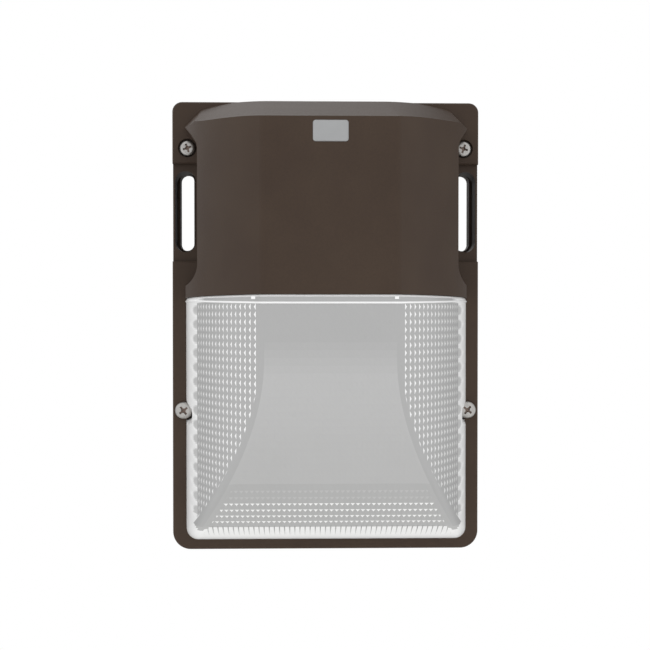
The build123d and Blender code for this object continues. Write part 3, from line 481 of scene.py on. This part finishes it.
class Skin:
    """The refractor's form, shrunk by an inset."""

    def __init__(self, inset, crease=None):
        self.inset = LENS_INSET + inset
        self.front = HOOD_REACH - self.inset
        self.foot = FOOT_REACH - inset
        self.low = LENS_LOW + inset
        self.crease = CREASE_R - inset if crease is None else crease
        self.deep = self.front - self.foot
        self.tall = BREAK_Z - self.low

    def side_x(self, reach, more=0.0):
        """Half width of the side's arc at a reach."""
        return SIDE_CX + sqrt((SIDE_R - self.inset - more) ** 2 - (reach - SIDE_CENTRE) ** 2)

    def front_at(self, turn, z):
        """Reach, height and tilt of the front: turn is the ellipse's angle, 0 on the straight."""
        if turn <= 0:
            return self.front, z, 0.0
        tilt = atan2(self.deep * sin(turn), self.tall * cos(turn))
        return self.foot + self.deep * cos(turn), BREAK_Z - self.tall * sin(turn), tilt

    def ball(self, turn, z):
        """Centre of the rolling ball, and the front's tilt there."""
        reach, z, tilt = self.front_at(turn, z)
        reach, z = reach - self.crease * cos(tilt), z + self.crease * sin(tilt)
        return (self.side_x(reach, self.crease), reach, z), tilt

    def edge(self, turn, z, share, out=0.0):
        """A point of the rolled edge: share is 0 at the side and 1 at the front."""
        (x, reach, z), tilt = self.ball(turn, z)
        lean = asin((reach - SIDE_CENTRE) / (SIDE_R - self.inset - self.crease))
        side, front = Vector((cos(lean), sin(lean), 0)), Vector((0, cos(tilt), -sin(tilt)))
        whole = acos(side.dot(front))
        normal = (sin((1 - share) * whole) * side + sin(share * whole) * front) / sin(whole)
        return Vector((x, reach, z)) + (self.crease + out) * normal

    def turn_for_side(self, z):
        """The ellipse's angle at which the ball touches the side at a height, by halving."""
        low, high = 0.0, pi / 2
        for _ in range(HALVINGS):
            middle = (low + high) / 2
            if self.ball(middle, BREAK_Z)[0][2] > z:
                low = middle
            else:
                high = middle
        return (low + high) / 2


outer, inner = Skin(0.0), Skin(LENS_WALL)
print("outer front:", outer.front, "inner front:", inner.front)

# %% [markdown]
# ## Rows and columns of the pattern
#
# The outside is covered in rows of small hollow pyramids, 3.3 mm high. They are 2.36 mm wide on
# the front and 3.06 mm on the sides, with narrow flats between. Each pyramid needs only three grid
# lines each way: both edges of its mouth and its point. The rows run straight round the form, and
# the columns stop where the rolled edge cuts them. The plain sides get extra rows
# of their own, for round scoops and for the notch beside each middle screw. One that would fall
# almost on a row of the pattern is left out.

# %% Grid lines
ROW = 3.3
ROWS = 31
ROWS_TOP = 11.3
FRONT_COLUMN = 2.36
SIDE_COLUMN = 3.06
SIDE_START = 41.1
FLAT_SHARE = 0.08
SIDE_HOLLOW = 0.12
FRONT_HOLLOW = 0.05
LOW_HOLLOW = 0.12
GLEAM_ROWS = 4
MOUTH = (FLAT_SHARE, 0.5, 1 - FLAT_SHARE)
FINE_ROWS = 29
SCREW_AT = (70.5, -41.7)
NOTCH_R = 5.2
NOTCH_DRAFT = 0.052
TAIL = (1.5, 0.0, FLANGE_FRONT)
SIDE_LOW = LENS_LOW + CREASE_R
ROWS_LOW = ROWS_TOP - ROWS * ROW
FINE_SHARES = (0.0, 0.31, 0.69)
NOTCH_TURNS = [pi * k / 12 for k in range(-6, 7)]
NOTCH_BEYOND = (6.0, 6.9, 7.5)
LEAST_STEP = 0.06

cell_rows = [ROWS_TOP] + [ROWS_TOP - (k + share) * ROW for k in range(ROWS) for share in MOUTH]
cell_rows.append(ROWS_LOW)
low_rows = [-91.6, -92.6, -93.8, -95.0, -96.2, -97.4, -98.6, -99.7, -100.7, -101.6, -102.4,
            -103.0, -103.4, -103.7, LENS_LOW]
extra = [ROWS_TOP - (k + share) * ROW for k in range(FINE_ROWS) for share in FINE_SHARES]
extra += [SCREW_AT[1] + NOTCH_R * sin(turn) for turn in NOTCH_TURNS]
extra += [SCREW_AT[1] + side * off for side in (-1, 1) for off in NOTCH_BEYOND]
extra = [z for z in extra if ROWS_TOP - NEAR > z > ROWS_LOW
         and min(abs(z - row) for row in cell_rows) > LEAST_STEP]
print("cell rows:", len(cell_rows), "extra rows on the plain sides:", len(extra))

# %% [markdown]
# ## Collecting points and faces
#
# The piece is built face by face from computed points. Neighbouring patches share their edge
# points, so points are kept in a dictionary by place: asking twice for the same place gives the
# same vertex, and the patches are sewn together as they are made. Where a grid is squeezed to
# nothing its doubled corners drop out of the face. A hollow's mouth is cut in quarters, each a
# pair of triangles, and each triangle belongs to the top, the bottom, or the wall behind or ahead
# along the chain.

# %% The mesh under construction
KEEP = 4
WALLS = {(0, 0): ("top", "back"), (0, 1): ("top", "ahead"), (1, 0): ("back", "bottom"),
         (1, 1): ("ahead", "bottom")}

lens_bm = bmesh.new()
gleam_of = lens_bm.faces.layers.float.new("gleam")
lens_points = {}
lens_faces = set()


def point(x, reach, z, side=1):
    """The vertex at a place, given as distance from the middle, reach and height."""
    key = (round(side * x, KEEP), round(reach, KEEP), round(z, KEEP))
    if key not in lens_points:
        where = Vector((key[0], -FRAME_FACE - key[1], key[2])) * MM
        lens_points[key] = lens_bm.verts.new(where)
    return lens_points[key]


def face(corners, gleam=0.0, facet=False):
    """A face through some vertices, less the doubled ones."""
    ring = [v for i, v in enumerate(corners) if v is not corners[i - 1]]
    if len(set(ring)) < 3 or len(set(ring)) != len(ring) or frozenset(ring) in lens_faces:
        return
    lens_faces.add(frozenset(ring))
    made = lens_bm.faces.new(ring)
    made.smooth = not facet
    made[gleam_of] = gleam


def quads(rows, kinds=None, gleam=lambda j, i, wall: 0.0):
    """Faces between neighbouring rows of vertices. kinds(j, i) tells a hollow's quarters apart."""
    for j, (above, below) in enumerate(zip(rows, rows[1:])):
        for i in range(len(above) - 1):
            a, b, c, d = above[i], above[i + 1], below[i + 1], below[i]
            kind = kinds(j, i) if kinds else None
            if kind is None:
                face((a, b, c, d), gleam(j, i, "flat"))
                continue
            first, second = WALLS[kind]
            face((a, b, c) if kind[0] == kind[1] else (a, b, d), gleam(j, i, first), True)
            face((a, c, d) if kind[0] == kind[1] else (b, c, d), gleam(j, i, second), True)


print("ready for points")

# %% [markdown]
# ## Hollows
#
# A pyramid's walls are flat, so its depth at a grid line is all or nothing: full at the crossing
# of two centre lines and none on the mouth's edges. A front view doesn't show how deep the real
# ones are. Here the gleam carries the look, and deep walls would hide each other from the front,
# so they are 0.12 mm on the sides and the lowest rows, and 0.05 mm on the rest of the front, which
# looks almost smooth. Next to the rolled edge the pattern runs out, so there the depth is no more
# than the distance to that edge allows.

# %% How deep a hollow is
def quarter(row_kind, column_kind):
    """None on the flats, or which quarter of a mouth starts at this crossing."""
    return None if row_kind == 2 or column_kind == 2 else (row_kind, column_kind)


def hollow_at(row_kind, column_kind, room, full):
    """Depth of the outside at a crossing, with so much room to the rolled edge."""
    if row_kind == 1 and column_kind == 1:
        return max(0.0, min(full, 0.5 * room))
    return 0.0


print("depth at a pyramid's point in mm:", hollow_at(1, 1, 10.0, SIDE_HOLLOW))

# %% [markdown]
# ## Top band
#
# Above the pattern a plain band runs up to the rim, with a fine half-round bead between them. The
# rim tucks in under the hood's lip, which rises a little to the front, so the band's heights
# depend on the reach. Each row is given as a height function and how far it stands proud.

# %% Rows of the top band
BEAD_R = 0.45
BEAD_FOOT_Z = 12.25
BEAD_DROP = 0.85
BEAD_BEND = 40.0
BEAD_TURNS = [0.25 * pi * k for k in range(5)]
RIM_LINE = 0.8
RIM_TUCK = 0.45


def rim_height(reach):
    """Height of the rim, which follows the hood's lip."""
    return RIM_Z + RIM_RISE * max(0.0, reach) / HOOD_REACH


def bead_height(reach):
    """Height of the bead's middle, which dips towards the front."""
    return BEAD_FOOT_Z - BEAD_DROP * max(0.0, reach - BEAD_BEND) / (HOOD_REACH - BEAD_BEND)


band = [(rim_height, -RIM_TUCK), (lambda r: rim_height(r) - RIM_LINE, 0.0)]
band += [(lambda r, a=a: bead_height(r) + BEAD_R * cos(a), BEAD_R * sin(a)) for a in BEAD_TURNS]
print("band rows:", len(band), "rim at the front:", round(rim_height(outer.front), 2))

# %% [markdown]
# ## One level of the grid
#
# A row is a level of the skin. It knows its height on the side and its place on the front's
# ellipse, and gives the vertex at any column. Columns past the rolled edge all fall on the edge
# itself, which is how the pattern gets cut off cleanly. Two middle screws sit beside the
# refractor, so its sides are scalloped round them: near a screw the side steps back to a circle
# round that screw.

# %% Rows
def notch_x(skin, reach, z):
    """How far out the side may stand beside a middle screw. The scallop widens to the front."""
    size = NOTCH_R + NOTCH_DRAFT * (reach - BACK) + skin.inset - LENS_INSET
    off = z - SCREW_AT[1]
    return SCREW_AT[0] - sqrt(size ** 2 - off ** 2) if abs(off) < size else SIDE_CX + 2 * SIDE_R


class Row:
    """A level of a skin, at a height that may depend on the reach."""

    def __init__(self, skin, height, turn=0.0, out=0.0):
        self.skin, self.turn, self.out = skin, turn, out
        self.height = height if callable(height) else lambda reach: height
        self.side_turn = 0.0
        if turn > 0:
            low_end = height < SIDE_LOW + NEAR
            self.side_turn = pi / 2 if low_end else skin.turn_for_side(height)
        self.side_limit = skin.edge(self.side_turn, 0.0, 0.0)[1]
        self.front_limit = skin.ball(turn, 0.0)[0][0]

    def edge(self, share, side):
        """The vertex on the rolled edge."""
        turn = (1 - share) * self.side_turn + share * self.turn
        x, reach, z = self.skin.edge(turn, 0.0, share, self.out)
        return point(x, reach, self.height(reach) if self.turn <= 0 else z, side)

    def side(self, reach, side, depth=0.0):
        """The vertex on a side, sunk to a depth."""
        if reach >= self.side_limit:
            return self.edge(0.0, side)
        lean = asin((reach - SIDE_CENTRE) / (SIDE_R - self.skin.inset))
        z, off = self.height(reach), self.out - depth
        x = min(self.skin.side_x(reach) + off * cos(lean), notch_x(self.skin, reach, z))
        return point(x, reach + off * sin(lean), z, side)

    def front(self, x, depth=0.0):
        """The vertex on the front, sunk to a depth."""
        if abs(x) >= self.front_limit:
            return self.edge(1.0, 1 if x > 0 else -1)
        reach, z, tilt = self.skin.front_at(self.turn, 0.0)
        z, off = self.height(reach) if self.turn <= 0 else z, self.out - depth
        return point(x, reach + off * cos(tilt), z - off * sin(tilt))

    def room(self, reach):
        """Distance along the side from a reach to the rolled edge."""
        size = SIDE_R - self.skin.inset
        return size * (asin((self.side_limit - SIDE_CENTRE) / size)
                       - asin((min(reach, self.side_limit) - SIDE_CENTRE) / size))


def level(skin, z, out=0.0):
    """The row at a height, squeezed on the side below the pattern to end where the side ends."""
    turn = asin(min(1.0, (BREAK_Z - z) / outer.tall)) if z < BREAK_Z else 0.0
    if z < ROWS_LOW:
        z = ROWS_LOW + (z - ROWS_LOW) * (SIDE_LOW - ROWS_LOW) / (LENS_LOW - ROWS_LOW)
    return Row(skin, z, turn, out)


print("side ends at reach:", round(level(outer, ROWS_TOP).side_limit, 2))

# %% [markdown]
# ## Columns
#
# A chain of columns runs from one foot round the front to the other foot. Its first part on each
# side is plain, but for short thumb-shaped scoops that send light sideways, and the rest carries
# the pyramids. The plain columns are listed one by one, closest together where the scoops are.

# %% Columns of the chain
SCOOP_START = 33.0
SCOOP_STEPS = (0.0, 0.8, 1.8, 3.0, 4.2, 5.4, 6.6)
EDGE_STEPS = 6
SIDE_CELLS = 17
FRONT_CELLS = 28
NEAR_FOOT = [5.0, 7.0]
PLAIN_REACHES = [9.0, 15.0, 21.0, 27.0]
INNER_FOOT = -1.4

size = SIDE_R - LENS_INSET
start = asin((SIDE_START - SIDE_CENTRE) / size)
tail_out, tail_in = (skin.edge(pi / 2, 0.0, 0.0)[1] for skin in (outer, inner))
plain = NEAR_FOOT + PLAIN_REACHES + [SCOOP_START + step for step in SCOOP_STEPS] + [SIDE_START]
plain_out = [*reversed(TAIL), tail_out] + plain
plain_in = [BACK, INNER_FOOT, tail_in, tail_out] + plain
side_lines = [size * sin(start + (k + share) * SIDE_COLUMN / size) + SIDE_CENTRE
              for k in range(SIDE_CELLS) for share in MOUTH]
half_front = [(k + share) * FRONT_COLUMN for k in range(FRONT_CELLS) for share in MOUTH]
front_lines = half_front[::-1] + [-x for x in half_front]
shares = [k / EDGE_STEPS for k in range(EDGE_STEPS + 1)]
column_kinds = ([0, 1, 2] * SIDE_CELLS + [2] * len(shares) + [0, 1, 2] * (2 * FRONT_CELLS)
                + [2] * len(shares) + [0, 1, 2] * SIDE_CELLS)
print("columns:", len(column_kinds) + 2 * len(plain_out))

# %% [markdown]
# ## The patterned outside
#
# Now the rows and columns meet. Every row gives its vertices along the chain, sunk where a
# pyramid has its point. Below the last row of pyramids each column runs out in a short flute that
# narrows to nothing. The gleam follows what the picture shows: on the sides the wall nearest the
# front shines, on the lowest rows the upper wall does, and so does the plain foot below them. The
# rolled edge stays grey down to a rounded end in the foot, which has one height for each of its
# strips. The rest of the front lets a faint glow through, most of it in the middle.

# %% The patterned outside
FLUTE = {-91.6: 0.3, -92.6: 0.25, -93.8: 0.18, -95.0: 0.1, -96.2: 0.04}
FLUTE_WIDE = 0.3
FLUTE_TAPER = 0.9
FLUTE_TOP, FLUTE_END = -91.6, -97.4
FOOT_GREY = 0.1
FAINT_GLEAM = 0.18
LAST_GLEAM = 0.4
BAND_FADE = 9
FRONT_GLOW = 0.12
SIDE_GLEAM = 0.97
GLOW_ROWS = (4, 9, 24)
GLOW_STRIPS = 3
FOOT_GREY_Z = (0.0, -91.3, -92.0, -93.0, -93.0, -92.0, -91.3)
LOW_GLOW = 0.06


def flute_x(k, z):
    """Where a front column stands in the foot: its edges draw in towards its centre line."""
    centre = front_lines[k - k % 3 + 1]
    share = min(1.0, max(0.0, (FLUTE_TOP - z) / (FLUTE_TOP - FLUTE_END)))
    return centre + (front_lines[k] - centre) * FLUTE_WIDE * (1 - FLUTE_TAPER * share)


def patterned(row, row_kind, cell, z):
    """The vertices of a row from the first hollow on one side round to the other side."""
    full = LOW_HOLLOW if cell >= ROWS - GLEAM_ROWS else FRONT_HOLLOW
    flute = FLUTE.get(z, 0.0)

    def depth(k, x):
        """A pyramid's depth, or else a flute's."""
        sunk = hollow_at(row_kind, k % 3, row.front_limit - abs(x), full)
        return sunk or (flute if k % 3 == 1 else 0.0)

    right, left = ([row.side(r, s, hollow_at(row_kind, k % 3, row.room(r), SIDE_HOLLOW))
                    for k, r in enumerate(side_lines)] for s in (1, -1))
    places = [(k, flute_x(k, z) if z < ROWS_LOW - NEAR else x) for k, x in enumerate(front_lines)]
    front = [row.front(x, depth(k, x)) for k, x in places]
    return (right + [row.edge(s, 1) for s in shares] + front
            + [row.edge(s, -1) for s in shares[::-1]] + left[::-1])


outside = [(Row(outer, height, 0.0, out), 2, -1, RIM_Z) for height, out in band]
outside += [(level(outer, z), 2 if k == 0 else (k - 1) % 3, (k - 1) // 3, z)
            for k, z in enumerate(cell_rows)]
outside += [(level(outer, z), 2, ROWS, z) for z in low_rows]
main_rows = [patterned(*row) for row in outside]
side_end = 3 * SIDE_CELLS
front_from = side_end + len(shares)
front_to = front_from + len(front_lines)
last_side = front_to + len(shares)


def kinds(j, i):
    """The quarter of a hollow that starts at row j and column i."""
    return quarter(outside[j][1], column_kinds[i])


# Painted light: the gleam paints glints on pyramid walls, a highlight on the bead and rim, white
# band ends, a white foot and a faint glow over the front.
def gleam_at(j, i, wall):
    """How much a face of the outside gleams, from its row, its column and its wall."""
    _, kind, cell, z = outside[j]
    on_front = front_from <= i < front_to - 1
    strip = min(i - side_end, last_side - 2 - i)
    by_front = strip > GLOW_STRIPS
    if j < len(band):
        bead_or_rim = j == 0 or 2 <= j < len(band) - 1
        from_end = min(i, len(column_kinds) - 2 - i)
        return 1.0 if bead_or_rim else max(0.0, SIDE_GLEAM * (1 - from_end / BAND_FADE))
    if z < ROWS_LOW + NEAR:
        in_flute = on_front and (column_kinds[i] != 2 or z > FLUTE_TOP) and z > FLUTE_END
        in_strip = 0 <= strip <= EDGE_STEPS and z > FOOT_GREY_Z[strip]
        return FOOT_GREY if in_flute or in_strip else 1.0
    if wall == "top" and on_front:
        rows_up = ROWS - 1 - cell
        if rows_up < GLEAM_ROWS:
            return 1.0
        if rows_up < GLEAM_ROWS + 2:
            return FAINT_GLEAM
    if by_front:
        rising = (cell - GLOW_ROWS[0]) / (GLOW_ROWS[1] - GLOW_ROWS[0])
        return FRONT_GLOW * min(1.0, max(0.0, rising)) if cell < GLOW_ROWS[2] else LOW_GLOW
    if (wall == "ahead" and i < side_end) or (wall == "back" and i >= last_side):
        return LAST_GLEAM if side_end - 3 <= i < last_side + 3 else 1.0
    return 0.0


quads(main_rows, kinds, gleam_at)
print("patterned faces:", len(lens_bm.faces))

# %% [markdown]
# ## Plain sides with their scoops
#
# The plain part of each side needs more rows than the pattern, for the round scoops and for the
# scallop beside the screw. Where the two sets of rows meet, a zip of triangles joins them: it
# climbs both edges at once and always takes the next vertex on the one that is behind.

# %% The plain sides
SCOOP_DEEP = 0.5
SCOOP_HALF = 2.5
SCOOP_ROOM = 0.35
SCOOP_GLEAM = 0.3
SCOOP_FADE = 0.45
SCOOP_PITCH = 2 * ROW
FLANGE_X = 71.6


def zip_up(one, other, gleam=0.0):
    """Triangles between two edges whose vertices both run downwards."""
    i = j = 0
    while i < len(one) - 1 or j < len(other) - 1:
        if j == len(other) - 1 or (i < len(one) - 1 and one[i + 1].co.z >= other[j + 1].co.z):
            face((one[i], one[i + 1], other[j]), gleam)
            i += 1
        else:
            face((one[i], other[j + 1], other[j]), gleam)
            j += 1


def scoop_share(reach, z):
    """0 outside a scoop, rising to 1 on its floor. Its rounded end looks towards the wall."""
    along = (reach - SCOOP_START) / (SIDE_START - SCOOP_START)
    count = (ROWS_TOP - z) / SCOOP_PITCH
    across = (count - int(count) - 0.5) * SCOOP_PITCH / SCOOP_HALF
    if not 0 < along <= 1 or not 0 <= count < ROWS // 2:
        return 0.0
    return max(0.0, 1 - across ** 2 - (1 - along) ** 2)


def middle_of(corners):
    """Reach and height in the middle of some vertices."""
    middle = sum((v.co for v in corners), Vector()) / len(corners) / MM
    return -middle.y - FRAME_FACE, middle.z


plain_rows = [Row(outer, height, 0.0, out) for height, out in band]
plain_rows += [level(outer, z) for z in sorted(cell_rows + extra + low_rows, reverse=True)]
foot_columns, tops = {}, {}
for side in (1, -1):
    grid = []
    for row in plain_rows:
        z = row.height(0.0)
        line = [point(min(FLANGE_X, notch_x(outer, reach, z)), reach, z, side)
                for reach in (BACK, FLANGE_FRONT)]
        line += [row.side(r, side, min(SCOOP_DEEP * sqrt(scoop_share(r, row.height(r))),
                                       SCOOP_ROOM * row.room(r))) for r in plain_out]
        grid.append(line)

    # Painted light: the plain side is painted near white, and greyer on the floors of the scoops.
    def side_gleam(j, i, wall):
        """White on the plain side, greyer towards the floor of a scoop."""
        reach, z = middle_of((grid[j][i], grid[j][i + 1], grid[j + 1][i + 1], grid[j + 1][i]))
        sunk = min(1.0, scoop_share(reach, z) / SCOOP_FADE)
        return SIDE_GLEAM + (SCOOP_GLEAM - SIDE_GLEAM) * sunk

    quads(grid, None, side_gleam)
    inner_end = [line[0 if side > 0 else -1] for line in main_rows]
    zip_up([line[-1] for line in grid], inner_end, SIDE_GLEAM)
    foot_columns[side] = [line[0] for line in grid]
    tops[side] = grid[0]
print("faces with the sides:", len(lens_bm.faces))

# %% [markdown]
# ## Rim, collar and inside
#
# The wall goes over the rim, up into a collar that plugs into the hood, and back down as a smooth
# inside. All of these are the same chain at other insets and heights. At the bottom both skins
# turn square to the wall, and a flange outside closes the foot.

# %% The rim, the collar and the inside
COLLAR_TOP = 16.8
COLLAR_LOW = 9.55
COLLAR_INSET = 4.0
COLLAR_CREASE = 0.6


def full_chain(row):
    """A row without hollows, from foot to foot."""
    right, left = ([row.side(r, s) for r in plain_in + side_lines] for s in (1, -1))
    return (right + [row.edge(s, 1) for s in shares] + [row.front(x) for x in front_lines]
            + [row.edge(s, -1) for s in shares[::-1]] + left[::-1])


collar = Skin(COLLAR_INSET, COLLAR_CREASE)
inner_levels = [ROWS_TOP - k * ROW for k in range(1, ROWS + 1)] + low_rows
inner_levels += [SCREW_AT[1] + (NOTCH_R + LENS_WALL) * sin(turn) for turn in NOTCH_TURNS]
over = [full_chain(Row(skin, height)) for skin, height in
        ((inner, rim_height), (inner, COLLAR_TOP), (collar, COLLAR_TOP), (collar, COLLAR_LOW))]
inside = [full_chain(Row(inner, COLLAR_LOW))]
inside += [full_chain(level(inner, z)) for z in sorted(inner_levels, reverse=True)]
outer_top = tops[1][2:] + main_rows[0] + tops[-1][:1:-1]
quads([outer_top] + over + inside)
for side, top, end in ((1, tops[1], 0), (-1, tops[-1], -1)):
    face((top[0], top[1], top[2], over[0][end]))
    face([row[end] for row in over] + [inside[0][end]])
    zip_up(foot_columns[side], [over[0][end]] + [row[end] for row in inside])
print("faces with the inside:", len(lens_bm.faces))

# %% [markdown]
# ## The foot
#
# Below the ellipse the wall meets the frame square on. Its corner is a quarter circle, and so is
# the flange's, about the same centre. Two small nibs under the hood's lip finish the piece. They
# catch the light, and stand not quite evenly. What they are for isn't known.

# %% The bottom wall and flange
FLANGE_LOW = -106.3
FLANGE_CORNER = SIDE_LOW - FLANGE_LOW
NIB_CENTRES = (-32.8, 28.1)
NIB_Z = (12.9, 14.0)
NIB_W = 1.7
NIB_OUT = 0.3
flange_centre = FLANGE_X - FLANGE_CORNER


def foot_chain(centre_x, reach, size):
    """The bottom wall's row: a quarter circle, the straight, and the other quarter circle."""
    def corner(share, side):
        """A point of the quarter circle."""
        turn = share * pi / 2
        return point(centre_x + size * cos(turn), reach, SIDE_LOW - size * sin(turn), side)

    straight = [corner(1.0, 1 if x > 0 else -1) if abs(x) >= centre_x
                else point(x, reach, SIDE_LOW - size) for x in front_lines]
    return [corner(s, 1) for s in shares] + straight + [corner(s, -1) for s in shares[::-1]]


def wall_chain(skin, reach):
    """The bottom wall's row on a skin."""
    return foot_chain(skin.side_x(reach) - skin.crease, reach, skin.crease)


lip = slice(3 * SIDE_CELLS, -3 * SIDE_CELLS)
inner_lip = slice(len(plain_in) + 3 * SIDE_CELLS, -(len(plain_in) + 3 * SIDE_CELLS))
foot = [main_rows[-1][lip]] + [wall_chain(outer, reach) for reach in TAIL]
foot += [foot_chain(flange_centre, reach, FLANGE_CORNER) for reach in (FLANGE_FRONT, BACK)]
foot += [wall_chain(inner, reach) for reach in (BACK, INNER_FOOT)] + [inside[-1][inner_lip]]
# Painted light: the bottom wall, the flange and both nibs are painted near white.
quads(foot, None, lambda j, i, wall: 1.0)
for centre in NIB_CENTRES:
    ends = [[point(centre + a * NIB_W / 2, outer.front + b * NIB_OUT, NIB_Z[c])
             for a, c in ((-1, 0), (1, 0), (1, 1), (-1, 1))] for b in (-1, 1)]
    for end in ends:
        face(end, 1.0)
    for k in range(4):
        face((ends[0][k - 1], ends[0][k], ends[1][k], ends[1][k - 1]), 1.0)
open_edges = [e for e in lens_bm.edges if len(e.link_faces) != 2]
print("faces:", len(lens_bm.faces), "open or doubled edges:", len(open_edges))

# %% [markdown]
# ## Shading of the refractor
#
# Facets are flat and stay flat. The rest is shaded smooth, but an edge where two faces meet at
# more than 20 degrees is a real edge of the moulding, so it is marked sharp.

# %% The refractor object
SHARP_DEGREES = 20

bmesh.ops.recalc_face_normals(lens_bm, faces=lens_bm.faces)
for edge in lens_bm.edges:
    if len(edge.link_faces) == 2 and degrees(edge.calc_face_angle(0.0)) > SHARP_DEGREES:
        edge.smooth = False
lens_mesh = bpy.data.meshes.new("prismatic_refractor")
lens_bm.to_mesh(lens_mesh)
lens_bm.free()
lens_mesh.materials.append(refractor_finish)
refractor = bpy.data.objects.new("prismatic_refractor", lens_mesh)
bpy.context.scene.collection.objects.link(refractor)
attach(refractor, "cover")
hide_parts("lens")
triangles = sum(len(p.vertices) - 2 for p in lens_mesh.polygons)
print("refractor triangles:", triangles)
